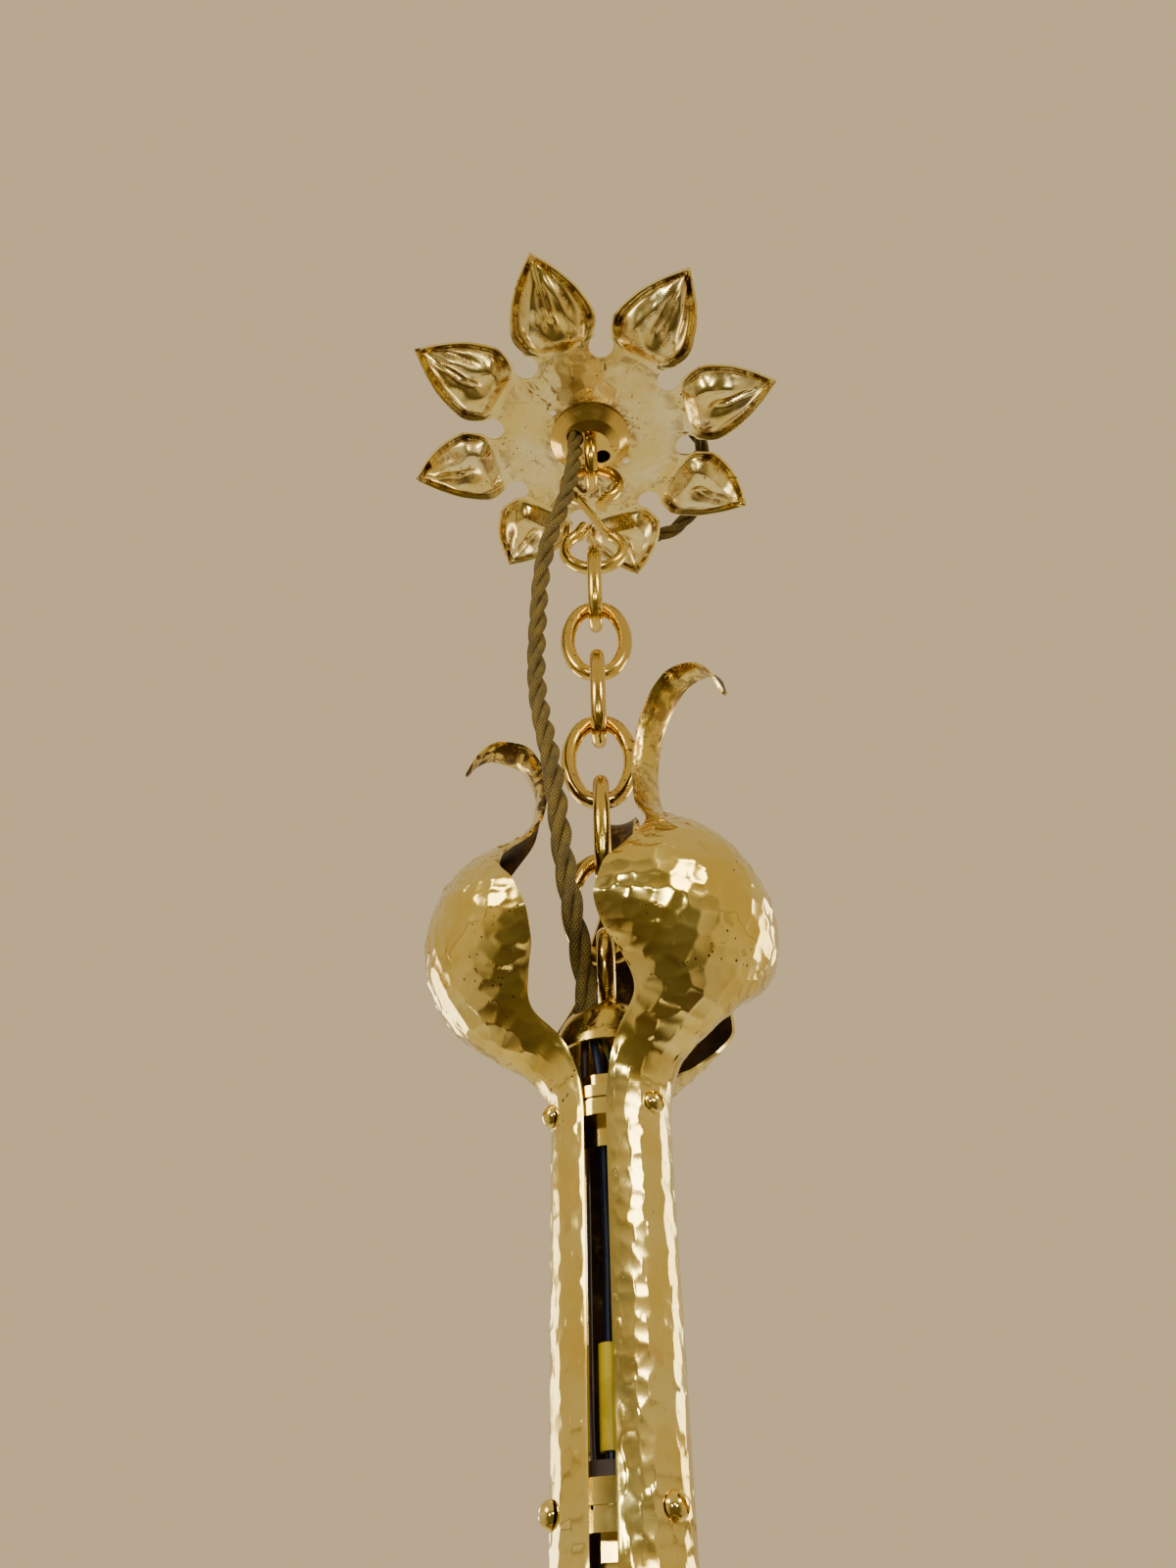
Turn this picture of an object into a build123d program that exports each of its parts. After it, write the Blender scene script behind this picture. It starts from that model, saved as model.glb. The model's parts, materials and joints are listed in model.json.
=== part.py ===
from build123d import *
import os
from math import acos, cos, pi, radians, sin, sqrt, tan

# A hanging electric lamp in sheet and cast brass. Millimetres, +Z up.
# The origin is the centre of the ceiling plate's back, between its two screw holes, and the lamp
# hangs towards -Z. The petal tips rise from there to the ceiling. The chain links lie in the YZ
# and the XZ plane by turns.

os.makedirs("parts", exist_ok=True)

# ---- driving sizes -------------------------------------------------------------------------
CLEARANCE = 0.3            # gap between links that bear on each other
FIT = 0.05                 # gap round a shank in its bore
SHEET = 1.0                # sheet brass of the plate and of the leaf straps

# ceiling plate
PLATE_TIP_R = 89.0
PLATE_DEPTH = 6.0          # the ceiling is this far above the back of the plate's middle
PLATE_FLAT_R = 38.0
PETALS = 8
PETAL_TURN = -105.1        # polar angle of the first petal tip, degrees
PETAL_HALF_WIDTH = 19.2
PETAL_WIDEST_R = 57.0
DISC_R = 44.0
NOTCH_R = 5.5              # round notch between two petals
NOTCH_CENTRE_R = 46.0
CEILING_SCREW_R = 21.7
CEILING_SCREW_HOLE = 3.2
CEILING_SCREW_TURN = 38.8

# boss and ring bolt
WIRE = 5.6                 # wire of ring, hook and links
BOSS_R = 18.6
BOSS_HEIGHT = 8.0
RING_R = 10.2              # centre line of the ring bolt's ring
SHANK_R = 2.8
NUT_HEIGHT = 4.0
WASHER = 1.0
SPARE_HOLE_R = 3.6         # an unused cable hole beside the ring

# hook and chain
HOOK_R = 12.2              # centre line of each loop of the hook
HOOK_HEIGHT = 71.3         # centre line, top to bottom
LINK_LENGTH = 37.7         # centre line, top to bottom
LINK_WIDTH = 22.4          # centre line
LINK_END_R = 8.6           # centre line of an oval link's two ends
LINKS = 6

# stem
EYE_R = 11.2               # centre line of the eye
ROD_R = 3.0
ROD_LENGTH = 45.0          # below the middle of the eye's bottom wire
CAP_R = 16.0
CAP_HEIGHT = 16.5
TUBE_R = 16.7              # outside of the tube that the three straps form
STRAP_HALF = 14.3          # half the width of a strap, along its curve
COLLAR_R = TUBE_R - SHEET - 0.1
UPPER_COLLAR_DROP = 33.3   # from the eye's bottom wire to the top of the upper collar
UPPER_COLLAR_HEIGHT = 8.5
TUBE_LENGTH = 95.0         # between the upper and the lower row of strap screws
LOWER_COLLAR_HEIGHT = 10.5
LOWER_COLLAR_BORE = 11.0
COLLAR_FLOOR = 3.0
SCREW_R = 1.6
SCREW_HEAD_R = 3.35
SCREW_LENGTH = 5.0
SCREW_HEAD_HEIGHT = 2.9
SLOT = 0.9
STRAPS = {"leaf_front_right": -45.0, "leaf_front_left": -165.0, "leaf_back": 75.0}
LEAF_ROOM = 300.0          # side of a block that holds any leaf's bulb and curl

# electrical parts
FLEX_R = 3.65
CORE_R = 1.2
SLEEVE_R = 2.6
SLEEVE_LENGTH = 23.0
SLEEVE_GRIP = 6.0          # length of core inside each end of the sleeve
SLEEVE_GAP = 0.25          # between core and sleeve
NIPPLE_R = 5.0
NIPPLE_BORE = 3.7
NIPPLE_GRIP = 12.0         # length inside the lampholder
NIPPLE_SPREAD = 1.75       # from the nipple's middle to each core in it
HOLDER_R = 13.5
BULB_R = 28.0
BULB_CAP_R = 11.0

# gallery and shade
GALLERY_R = 30.0
GALLERY_HEIGHT = 48.0
GALLERY_RIM = 12.0
SHADE_GAP = 1.6            # between the shade's neck and the gallery's rim
SHADE_NECK_R = GALLERY_R - SHEET - SHADE_GAP
SHADE_R = 74.0
SHADE_HEIGHT = 130.0
GLASS = 2.6
THUMBSCREW_TURNS = (15.0, 135.0, 255.0)

# ---- levels, worked out from the sizes -----------------------------------------------------
PLATE_TOP = 0.0
BOSS_TOP = PLATE_TOP - SHEET
BOSS_BOTTOM = BOSS_TOP - BOSS_HEIGHT
RING_Z = BOSS_BOTTOM - WIRE / 2 - RING_R
STEP = WIRE + CLEARANCE    # from the middle of one wire to the middle of the wire it carries
HOOK_TOP = RING_Z - RING_R + STEP
HOOK_BOTTOM = HOOK_TOP - HOOK_HEIGHT
LINK_TOPS = [HOOK_BOTTOM + STEP - i * (LINK_LENGTH - STEP) for i in range(LINKS)]
EYE_TOP = LINK_TOPS[-1] - LINK_LENGTH + STEP
EYE_Z = EYE_TOP - EYE_R
EYE_BOTTOM = EYE_TOP - 2 * EYE_R
CAP_TOP = EYE_BOTTOM - WIRE / 2 - 0.1
UPPER_COLLAR_TOP = EYE_BOTTOM - UPPER_COLLAR_DROP
UPPER_SCREW_Z = UPPER_COLLAR_TOP - 4.0
UPPER_COLLAR_BOTTOM = UPPER_COLLAR_TOP - UPPER_COLLAR_HEIGHT
LOWER_SCREW_Z = UPPER_SCREW_Z - TUBE_LENGTH
LOWER_COLLAR_TOP = LOWER_SCREW_Z + 5.5
LOWER_COLLAR_BOTTOM = LOWER_COLLAR_TOP - LOWER_COLLAR_HEIGHT
NIPPLE_TOP = LOWER_COLLAR_BOTTOM + COLLAR_FLOOR + 1.0
LOCKNUT_HEIGHT = 5.0
GALLERY_TOP = LOWER_COLLAR_BOTTOM - LOCKNUT_HEIGHT
GALLERY_BOTTOM = GALLERY_TOP - GALLERY_HEIGHT
HOLDER_TOP = GALLERY_TOP - 4.0
NIPPLE_BOTTOM = HOLDER_TOP - NIPPLE_GRIP
SHADE_TOP = GALLERY_BOTTOM + GALLERY_RIM - 2.0
THUMBSCREW_Z = SHADE_TOP - 7.6
SLEEVE_BOTTOM = LOWER_COLLAR_TOP + 6.0
SLEEVE_TOP = SLEEVE_BOTTOM + SLEEVE_LENGTH
FLEX_ENTRY = (-7.0, -5.0)           # through the plate and the boss
SPARE_HOLE = (5.6, 4.9)
CAP_ENTRY = (-5.4, -7.4)            # through the stem cap


def save(name, shape):
    shape.label = name
    export_step(shape, f"parts/{name}.step")


def polar(radius, turn, z=0.0):
    return (radius * cos(radians(turn)), radius * sin(radians(turn)), z)


def upright(radius, bottom, top, x=0.0, y=0.0):
    """A cylinder along Z from one level to another."""
    return Pos(x, y, (bottom + top) / 2) * Cylinder(radius, top - bottom)


def turned(points):
    """A body of revolution about Z from the outline of its half section, as (radius, z)."""
    face = make_face(Polyline(*[(r, 0, z) for r, z in points], close=True))
    return revolve(face, Axis.Z)


def wire_sweep(path, radius=WIRE / 2):
    """Round bar along a path."""
    section = Plane(origin=path @ 0, z_dir=path % 0) * Circle(radius)
    return sweep(section, path=path)


def hexagon(across, bottom, top, bore):
    nut = Pos(0, 0, bottom) * extrude(RegularPolygon(across / 2, 6, major_radius=False), top - bottom)
    return nut - upright(bore + FIT, bottom - 1, top + 1)


# ---- ceiling plate, boss and ring bolt -----------------------------------------------------
def petal_outline():
    """One heart-shaped petal, pointing along +X."""
    tip = (PLATE_TIP_R, 0)
    side = [
        (DISC_R - 2, PETAL_HALF_WIDTH * 0.67), (PETAL_WIDEST_R - 7, PETAL_HALF_WIDTH * 0.88),
        (PETAL_WIDEST_R, PETAL_HALF_WIDTH), (PETAL_WIDEST_R + 11, PETAL_HALF_WIDTH * 0.84),
        (PETAL_WIDEST_R + 22, PETAL_HALF_WIDTH * 0.48), tip,
    ]
    left = Spline(*side)
    right = Spline(*[(x, -y) for x, y in side])
    root = Line(side[0], (side[0][0], -side[0][1]))
    return make_face([left, right, root])


def ceiling_plate():
    flower = Circle(DISC_R)
    pitch = 360 / PETALS
    for i in range(PETALS):
        flower += Rot(0, 0, PETAL_TURN + i * pitch) * petal_outline()
    for i in range(PETALS):
        flower -= Rot(0, 0, PETAL_TURN + (i + 0.5) * pitch) * Pos(NOTCH_CENTRE_R, 0) * Circle(NOTCH_R)
    prism = Pos(0, 0, BOSS_TOP - 5) * extrude(flower, 20)
    knee, knee_top, rim_top = PLATE_FLAT_R + 22, PLATE_TOP + 2.2, PLATE_TOP + PLATE_DEPTH
    dish = turned([
        (0, PLATE_TOP), (PLATE_FLAT_R, PLATE_TOP), (knee, knee_top), (PLATE_TIP_R + 1, rim_top),
        (PLATE_TIP_R + 1, rim_top - SHEET), (knee, knee_top - SHEET), (PLATE_FLAT_R, BOSS_TOP),
        (0, BOSS_TOP),
    ])
    plate = prism & dish
    plate -= upright(SHANK_R + 0.2, BOSS_TOP - 1, PLATE_TOP + 1)
    plate -= upright(FLEX_R + 0.5, BOSS_TOP - 1, PLATE_TOP + 1, *FLEX_ENTRY)
    for turn in (CEILING_SCREW_TURN, CEILING_SCREW_TURN + 180):
        x, y, _ = polar(CEILING_SCREW_R, turn)
        plate -= upright(CEILING_SCREW_HOLE / 2, BOSS_TOP - 1, PLATE_TOP + 1, x, y)
    return plate


def boss_cup():
    """Spun cup with its mouth against the plate."""
    shoulder = BOSS_R - 5.0
    cup = turned([
        (0, BOSS_BOTTOM), (9, BOSS_BOTTOM), (shoulder, BOSS_BOTTOM + 2.2),
        (BOSS_R - 1.5, BOSS_BOTTOM + 5.4), (BOSS_R, BOSS_BOTTOM + 6.6), (BOSS_R, BOSS_TOP),
        (BOSS_R - SHEET, BOSS_TOP), (BOSS_R - SHEET, BOSS_BOTTOM + 7.0),
        (BOSS_R - 2.4, BOSS_BOTTOM + 6.1), (shoulder - 0.4, BOSS_BOTTOM + 3.2),
        (8.8, BOSS_BOTTOM + SHEET), (0, BOSS_BOTTOM + SHEET),
    ])
    cup -= upright(SHANK_R + 0.2, BOSS_BOTTOM - 1, BOSS_TOP)
    cup -= upright(SPARE_HOLE_R, BOSS_BOTTOM - 1, BOSS_TOP, *SPARE_HOLE)
    return cup - upright(FLEX_R + 0.35, BOSS_BOTTOM - 1, BOSS_TOP, *FLEX_ENTRY)


def ring_bolt():
    ring = Pos(0, 0, RING_Z) * Rot(0, 90, 0) * Torus(RING_R, WIRE / 2)
    return ring + upright(SHANK_R, RING_Z + RING_R, PLATE_TOP + WASHER + NUT_HEIGHT + 0.5)


def ring_bolt_washer():
    washer = upright(7.0, PLATE_TOP, PLATE_TOP + WASHER)
    washer -= upright(SHANK_R + 0.2, PLATE_TOP - 1, PLATE_TOP + WASHER + 1)
    return washer - upright(FLEX_R + 0.5, PLATE_TOP - 1, PLATE_TOP + WASHER + 1, *FLEX_ENTRY)


def ring_bolt_nut():
    return hexagon(8.0, PLATE_TOP + WASHER, PLATE_TOP + WASHER + NUT_HEIGHT, SHANK_R)


# ---- hook and chain ------------------------------------------------------------------------
def s_hook():
    """Two loops and a slanted bar between them, with both ends bent back near the bar."""
    upper = HOOK_TOP - HOOK_R
    lower = HOOK_BOTTOM + HOOK_R
    middle = (upper + lower) / 2
    slant = acos(2 * HOOK_R / (upper - lower))       # from the X axis to the tangent points
    dx, dz = HOOK_R * cos(slant), HOOK_R * sin(slant)
    end = 8.2 / sqrt(dx ** 2 + (upper - dz - middle) ** 2)
    end_x, end_z = dx * end, (upper - dz - middle) * end
    path = Line((end_x, 0, middle + end_z), (dx, 0, upper - dz))
    path += ThreePointArc((dx, 0, upper - dz), (0, 0, HOOK_TOP), (-dx, 0, upper - dz))
    path += Line((-dx, 0, upper - dz), (dx, 0, lower + dz))
    path += ThreePointArc((dx, 0, lower + dz), (0, 0, HOOK_BOTTOM), (-dx, 0, lower + dz))
    path += Line((-dx, 0, lower + dz), (-end_x, 0, middle - end_z))
    return wire_sweep(Wire(path.edges()))


def link(top, along_y):
    """An oval link: two end arcs and two side arcs that run into each other."""
    high, wide = LINK_LENGTH / 2, LINK_WIDTH / 2
    end_z = high - LINK_END_R
    side_r = (end_z ** 2 + wide ** 2 - LINK_END_R ** 2) / (2 * (wide - LINK_END_R))
    reach = side_r / (side_r - LINK_END_R)
    join_x, join_z = (side_r - wide) * (reach - 1), end_z * reach
    ends = [ThreePointArc((s * join_x, 0, s * join_z), (0, 0, s * high), (-s * join_x, 0, s * join_z))
            for s in (1, -1)]
    sides = [ThreePointArc((-s * join_x, 0, s * join_z), (-s * wide, 0, 0), (-s * join_x, 0, -s * join_z))
             for s in (1, -1)]
    oval = wire_sweep(Wire([ends[0], sides[0], ends[1], sides[1]]))
    return Pos(0, 0, top - LINK_LENGTH / 2) * Rot(0, 0, 90 if along_y else 0) * oval


# ---- stem ----------------------------------------------------------------------------------
def eye_bolt():
    eye = Pos(0, 0, EYE_Z) * Rot(0, 90, 0) * Torus(EYE_R, WIRE / 2)
    return eye + upright(ROD_R, EYE_BOTTOM - ROD_LENGTH, EYE_BOTTOM)


def stem_cap():
    """Shallow spun dome with a small flat on top, a hole for the rod and one for the flex."""
    rim = CAP_TOP - CAP_HEIGHT
    outside = [(4.6, CAP_TOP), (9, CAP_TOP - 1.2), (13, CAP_TOP - 4.8), (15.2, CAP_TOP - 9.5),
               (CAP_R, CAP_TOP - 14)]
    curve = Spline(*[(r, 0, z) for r, z in outside])
    start, finish = (ROD_R + 0.1, 0, CAP_TOP), (CAP_R, 0, rim)
    inner = [(r - SHEET * (0.1 + 0.9 * r / CAP_R), z - SHEET * (1 - r / CAP_R)) for r, z in outside]
    inner_curve = Spline(*[(r, 0, z) for r, z in inner])
    edges = [
        Line(start, curve @ 0), curve, Line(curve @ 1, finish),
        Line(finish, (CAP_R - SHEET, 0, rim)), Line((CAP_R - SHEET, 0, rim), inner_curve @ 1),
        inner_curve, Line(inner_curve @ 0, (ROD_R + 0.1, 0, CAP_TOP - SHEET)),
        Line((ROD_R + 0.1, 0, CAP_TOP - SHEET), start),
    ]
    cap = revolve(make_face(edges), Axis.Z)
    return cap - upright(FLEX_R + 0.9, CAP_TOP - 8, CAP_TOP + 1, *CAP_ENTRY)


def cap_nut():
    return hexagon(9.0, CAP_TOP - SHEET - 5.0, CAP_TOP - SHEET, ROD_R)


def strap_screws(level):
    """Round-head slotted screws, one through each strap into the collar."""
    body = Part()
    for number, turn in enumerate(STRAPS.values()):
        ball = (SCREW_HEAD_R ** 2 + SCREW_HEAD_HEIGHT ** 2) / (2 * SCREW_HEAD_HEIGHT)
        head = Pos(0, 0, SCREW_HEAD_HEIGHT - ball) * Sphere(ball)
        head &= Pos(0, 0, SCREW_HEAD_HEIGHT / 2) * Cylinder(SCREW_HEAD_R, SCREW_HEAD_HEIGHT)
        slot = Rot(0, 0, 40 + 55 * number) * Pos(0, 0, SCREW_HEAD_HEIGHT) * Box(9, SLOT, 2.2)
        screw = (head - slot) + upright(SCREW_R, -SCREW_LENGTH, 0)
        body += Rot(0, 0, turn) * Pos(TUBE_R, 0, level) * Rot(0, 90, 0) * screw
    return body


def collar(top, height, bore, screw_level, radius=COLLAR_R):
    """Turned collar inside the straps, with a groove, screw holes and a wire notch."""
    body = upright(radius, top - height, top) - upright(bore, top - height - 1, top + 1)
    groove = upright(radius + 1, top - height + 4.2, top - height + 5.2)
    groove -= upright(radius - 0.6, top - height, top)
    body -= groove
    for turn in STRAPS.values():
        hole = Pos(radius - 3, 0, screw_level) * Rot(0, 90, 0) * Cylinder(SCREW_R + FIT, 8)
        body -= Rot(0, 0, turn) * hole
    return body


def upper_collar():
    body = collar(UPPER_COLLAR_TOP, UPPER_COLLAR_HEIGHT, ROD_R + FIT, UPPER_SCREW_Z)
    for x, y in CORE_PASSES:
        body -= upright(CORE_R + 0.3, UPPER_COLLAR_BOTTOM - 1, UPPER_COLLAR_TOP + 1, x, y)
    return body


def rod_nut(bottom, top, radius):
    """Round nut on the rod, notched where the three cores pass."""
    body = upright(radius, bottom, top) - upright(ROD_R + FIT, bottom - 1, top + 1)
    for x, y in CORE_PASSES:
        body -= upright(CORE_R + 0.3, bottom - 1, top + 1, x, y)
    return body


# The half section of a leaf strap's middle line, from the lower tip upwards: how far the outer
# face is outside the tube, its z, half width along the curve, radius of the cross curve, and the
# direction in which the cross curve bulges, in degrees below the horizontal.
def strap_stations(name):
    low = LOWER_SCREW_Z
    waist = EYE_BOTTOM
    stations = [
        (28.3, low - 55.0, 1.2, 50.0, -55), (21.3, low - 50.5, 8.0, 38.0, -50),
        (13.3, low - 42.5, 13.5, 30.0, -42), (6.5, low - 31.0, 16.2, 23.5, -28),
        (1.9, low - 19.0, 15.6, TUBE_R + 2.1, -12), (0.0, low - 8.0, STRAP_HALF, TUBE_R, 0),
        (0.0, waist - 41.5, STRAP_HALF, TUBE_R, 0), (0.9, waist - 32.5, 14.2, TUBE_R - 0.1, 12),
        (5.8, waist - 25.5, 16.0, 15.0, 42), (14.3, waist - 20.8, 18.6, 17.0, 52),
        (23.8, waist - 14.5, 28.5, 23.5, 38), (31.8, waist - 5.5, 38.8, 34.5, 18),
        (37.3, waist + 6.0, 44.5, 43.0, 4), (38.8, waist + 17.0, 43.0, 44.0, -6),
        (36.3, waist + 29.0, 35.5, 38.0, -22), (29.8, waist + 40.0, 26.5, 30.0, -40),
        (20.8, waist + 49.0, 16.5, 21.0, -52), (12.3, waist + 57.0, 9.2, 14.0, -45),
        (7.5, waist + 66.0, 7.4, 12.0, -20),
    ]
    curls = {
        "leaf_front_right": [
            (6.3, waist + 78.0, 6.6, 12.0, 2), (8.8, waist + 92.0, 6.4, 12.0, 18),
            (14.3, waist + 103.5, 6.4, 12.0, 40), (23.3, waist + 109.5, 6.0, 12.0, 75),
            (32.3, waist + 106.5, 4.6, 13.0, 112), (38.3, waist + 98.0, 2.6, 16.0, 140),
            (40.8, waist + 89.5, 0.8, 20.0, 158),
        ],
        "leaf_front_left": [
            (6.1, waist + 76.0, 6.8, 12.0, 4), (7.9, waist + 86.0, 6.8, 12.0, 28),
            (13.3, waist + 93.5, 6.6, 12.0, 58), (20.3, waist + 94.5, 5.4, 12.0, 92),
            (26.3, waist + 90.0, 3.2, 14.0, 125), (29.8, waist + 83.0, 0.8, 20.0, 150),
        ],
        "leaf_back": [
            (6.3, waist + 76.0, 6.6, 12.0, 4), (8.3, waist + 85.5, 6.6, 12.0, 28),
            (13.8, waist + 92.0, 6.4, 12.0, 58), (21.3, waist + 92.5, 5.4, 12.0, 92),
            (27.8, waist + 87.5, 3.2, 14.0, 125), (31.8, waist + 80.0, 0.8, 20.0, 150),
        ],
    }
    narrower = {"leaf_back": 0.8}.get(name, 1.0)
    bulb = [(out, z, w * narrower if w > 19 else w, c, tilt) for out, z, w, c, tilt in stations]
    return [(TUBE_R + out, *others) for out, *others in bulb + curls[name]]


def strap_section(radius, z, half_width, curve, tilt):
    """Cross section of a strap: two arcs about one centre, and its two thin edges."""
    half = half_width / curve
    out_r, out_z = cos(radians(tilt)), -sin(radians(tilt))

    def at(arc, angle):
        lift = arc * cos(angle) - curve
        return (radius + lift * out_r, arc * sin(angle), z + lift * out_z)

    inner = curve - SHEET
    edges = [
        ThreePointArc(at(curve, -half), at(curve, 0), at(curve, half)),
        Line(at(curve, half), at(inner, half)),
        ThreePointArc(at(inner, half), at(inner, 0), at(inner, -half)),
        Line(at(inner, -half), at(curve, -half)),
    ]
    return make_face(edges)


def leaf_strap(name):
    """The straight strap, and the flared foot and the bulb with its curl that continue it. The
    upper collar has room inside it, and each screw its hole and a flat seat for its head."""
    stations = strap_stations(name)
    straight = [i for i, (r, z, w, c, tilt) in enumerate(stations) if tilt == 0]
    foot, bulb = stations[:straight[0] + 1], stations[straight[-1]:]
    z_low, z_high = foot[-1][1], bulb[0][1]
    body = extrude(strap_section(*foot[-1]), z_high - z_low, dir=(0, 0, 1))
    body += loft([strap_section(*station) for station in foot])
    above = Pos(0, 0, z_high + LEAF_ROOM / 2) * Box(LEAF_ROOM, LEAF_ROOM, LEAF_ROOM)
    body += loft([strap_section(*station) for station in bulb]) & above
    body -= upright(COLLAR_R + FIT, UPPER_COLLAR_BOTTOM - 1, UPPER_COLLAR_TOP + 1)
    for level in (UPPER_SCREW_Z, LOWER_SCREW_Z):
        body -= Pos(TUBE_R, 0, level) * Rot(0, 90, 0) * Cylinder(SCREW_R + FIT, 8)
        body -= Pos(TUBE_R + 2, 0, level) * Rot(0, 90, 0) * Cylinder(SCREW_HEAD_R + FIT, 4 + FIT)
    return Rot(0, 0, STRAPS[name]) * body


# ---- lower end -----------------------------------------------------------------------------
def lower_collar():
    """Cup-shaped collar: the cores pass through its bore into the nipple in its floor."""
    body = collar(LOWER_COLLAR_TOP, LOWER_COLLAR_HEIGHT, NIPPLE_R + FIT, LOWER_SCREW_Z)
    return body - upright(LOWER_COLLAR_BORE, LOWER_COLLAR_BOTTOM + COLLAR_FLOOR, LOWER_COLLAR_TOP + 1)


def fibre_washer():
    ring = upright(COLLAR_R - 1.2, LOWER_COLLAR_TOP, LOWER_COLLAR_TOP + 3.5)
    return ring - upright(LOWER_COLLAR_BORE, LOWER_COLLAR_TOP - 1, LOWER_COLLAR_TOP + 5)


def nipple():
    body = upright(NIPPLE_R, NIPPLE_BOTTOM, NIPPLE_TOP)
    return body - upright(NIPPLE_BORE, NIPPLE_BOTTOM - 1, NIPPLE_TOP + 1)


def gallery():
    """Spun shade carrier: a flat seat, a flared skirt and an upright rim with a bead."""
    top, rim_top = GALLERY_TOP, GALLERY_BOTTOM + GALLERY_RIM
    inner = GALLERY_R - SHEET
    body = turned([
        (NIPPLE_R + FIT, top), (12.0, top), (14.5, top - 5), (17.4, top - 18), (22.5, rim_top + 6.5),
        (GALLERY_R, rim_top), (GALLERY_R, GALLERY_BOTTOM + 1.6), (GALLERY_R + 1.4, GALLERY_BOTTOM + 1.6),
        (GALLERY_R + 1.4, GALLERY_BOTTOM), (inner, GALLERY_BOTTOM), (inner, rim_top - 0.5),
        (21.7, rim_top + 5.8), (16.4, top - 18.3), (13.5, top - 5.3), (11.4, top - SHEET),
        (NIPPLE_R + FIT, top - SHEET),
    ])
    for turn in THUMBSCREW_TURNS:
        hole = Pos(GALLERY_R - 0.5, 0, THUMBSCREW_Z) * Rot(0, 90, 0) * Cylinder(SCREW_R + FIT, 6)
        body -= Rot(0, 0, turn) * hole
    return body


def gallery_thumbscrews():
    body = Part()
    for turn in THUMBSCREW_TURNS:
        screw = upright(SCREW_R, SHADE_NECK_R - 1.5, GALLERY_R + 3)
        screw += upright(3.6, GALLERY_R + 3, GALLERY_R + 6)
        body += Rot(0, 0, turn) * Pos(0, 0, THUMBSCREW_Z) * Rot(0, 90, 0) * screw
    return body


def glass_shade():
    """Blown bell: a beaded neck, a swelling body and an open mouth."""
    top, bottom = SHADE_TOP, SHADE_TOP - SHADE_HEIGHT
    neck = SHADE_NECK_R - 2.0
    outer = [(neck, top - 10), (neck + 1.5, top - 16), (SHADE_R * 0.62, top - 38),
             (SHADE_R * 0.84, top - 66), (SHADE_R * 0.93, top - 98), (SHADE_R, bottom)]
    inner = [(r - GLASS, z) for r, z in outer]
    outer_curve = Spline(*[(r, 0, z) for r, z in outer])
    inner_curve = Spline(*[(r, 0, z) for r, z in inner])
    bead = [(neck - GLASS, top), (SHADE_NECK_R, top), (SHADE_NECK_R, top - 4), (neck, top - 5.5)]
    edges = [
        outer_curve, inner_curve, Line(outer_curve @ 1, inner_curve @ 1),
        Line(inner_curve @ 0, (bead[0][0], 0, bead[0][1])), Line(outer_curve @ 0, (neck, 0, top - 5.5)),
    ]
    edges += [Line((a[0], 0, a[1]), (b[0], 0, b[1])) for a, b in zip(bead, bead[1:])]
    return revolve(make_face(edges), Axis.Z)


def lampholder_cap():
    top = HOLDER_TOP
    return turned([
        (NIPPLE_R + FIT, top), (8, top), (HOLDER_R - 3, top - 3), (HOLDER_R - 3, top - 18),
        (HOLDER_R - 4.2, top - 18), (HOLDER_R - 4.2, top - 3.4), (7.6, top - 1.4),
        (NIPPLE_R + FIT, top - 1.4),
    ])


def lampholder_body():
    top = HOLDER_TOP - 18
    return turned([
        (0, top), (HOLDER_R - 1.5, top), (HOLDER_R, top - 2), (HOLDER_R, top - 38),
        (BULB_CAP_R + 0.2, top - 38), (BULB_CAP_R + 0.2, top - 20), (0, top - 20),
    ])


def shade_ring():
    top, bore = HOLDER_TOP - 34, HOLDER_R + 2 * FIT
    return turned([
        (bore, top), (HOLDER_R + 4.2, top), (HOLDER_R + 4.2, top - 2.2),
        (HOLDER_R + 2.0, top - 3.2), (HOLDER_R + 2.0, top - 9), (bore, top - 9),
    ])


def bulb_cap():
    top = HOLDER_TOP - 39
    body = upright(BULB_CAP_R, top - 26, top)
    for side in (-1, 1):
        body += Pos(0, side * (BULB_CAP_R - 0.8), top - 6) * Rot(90, 0, 0) * Cylinder(0.9, 1.6)
    return body


def bulb_glass():
    top = HOLDER_TOP - 65
    globe = Pos(0, 0, top - 12 - sqrt(BULB_R ** 2 - 11 ** 2)) * Sphere(BULB_R)
    return globe + upright(BULB_CAP_R - 0.4, top - 14, top)


# ---- flex and cores ------------------------------------------------------------------------
# The flex leaves the boss, passes the hook on its left and front, runs beside the chain and
# enters the stem cap between the two front leaves.
FLEX_ROUTE = [
    (-7.0, -5.0, BOSS_BOTTOM + 1.0), (-7.0, -5.0, -17.0), (-7.5, -7.4, -29.0),
    (-9.0, -8.2, -46.0), (-12.6, -8.4, -64.0), (-16.8, -7.8, -79.0), (-20.0, -6.8, -94.0),
    (-21.8, -5.6, -110.0), (-22.4, -5.2, -126.0), (-22.9, -5.0, -142.0), (-23.1, -5.4, -160.0),
    (-22.2, -6.8, -178.0),
    (-19.8, -10.6, -197.0), (-16.8, -14.4, -216.0), (-14.6, -16.8, -237.0), (-12.8, -17.8, -258.0),
    (-10.4, -17.6, -277.0), (-7.6, -13.4, -293.0), (-5.8, -9.0, -305.0), (-5.4, -7.4, -316.0),
]
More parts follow.
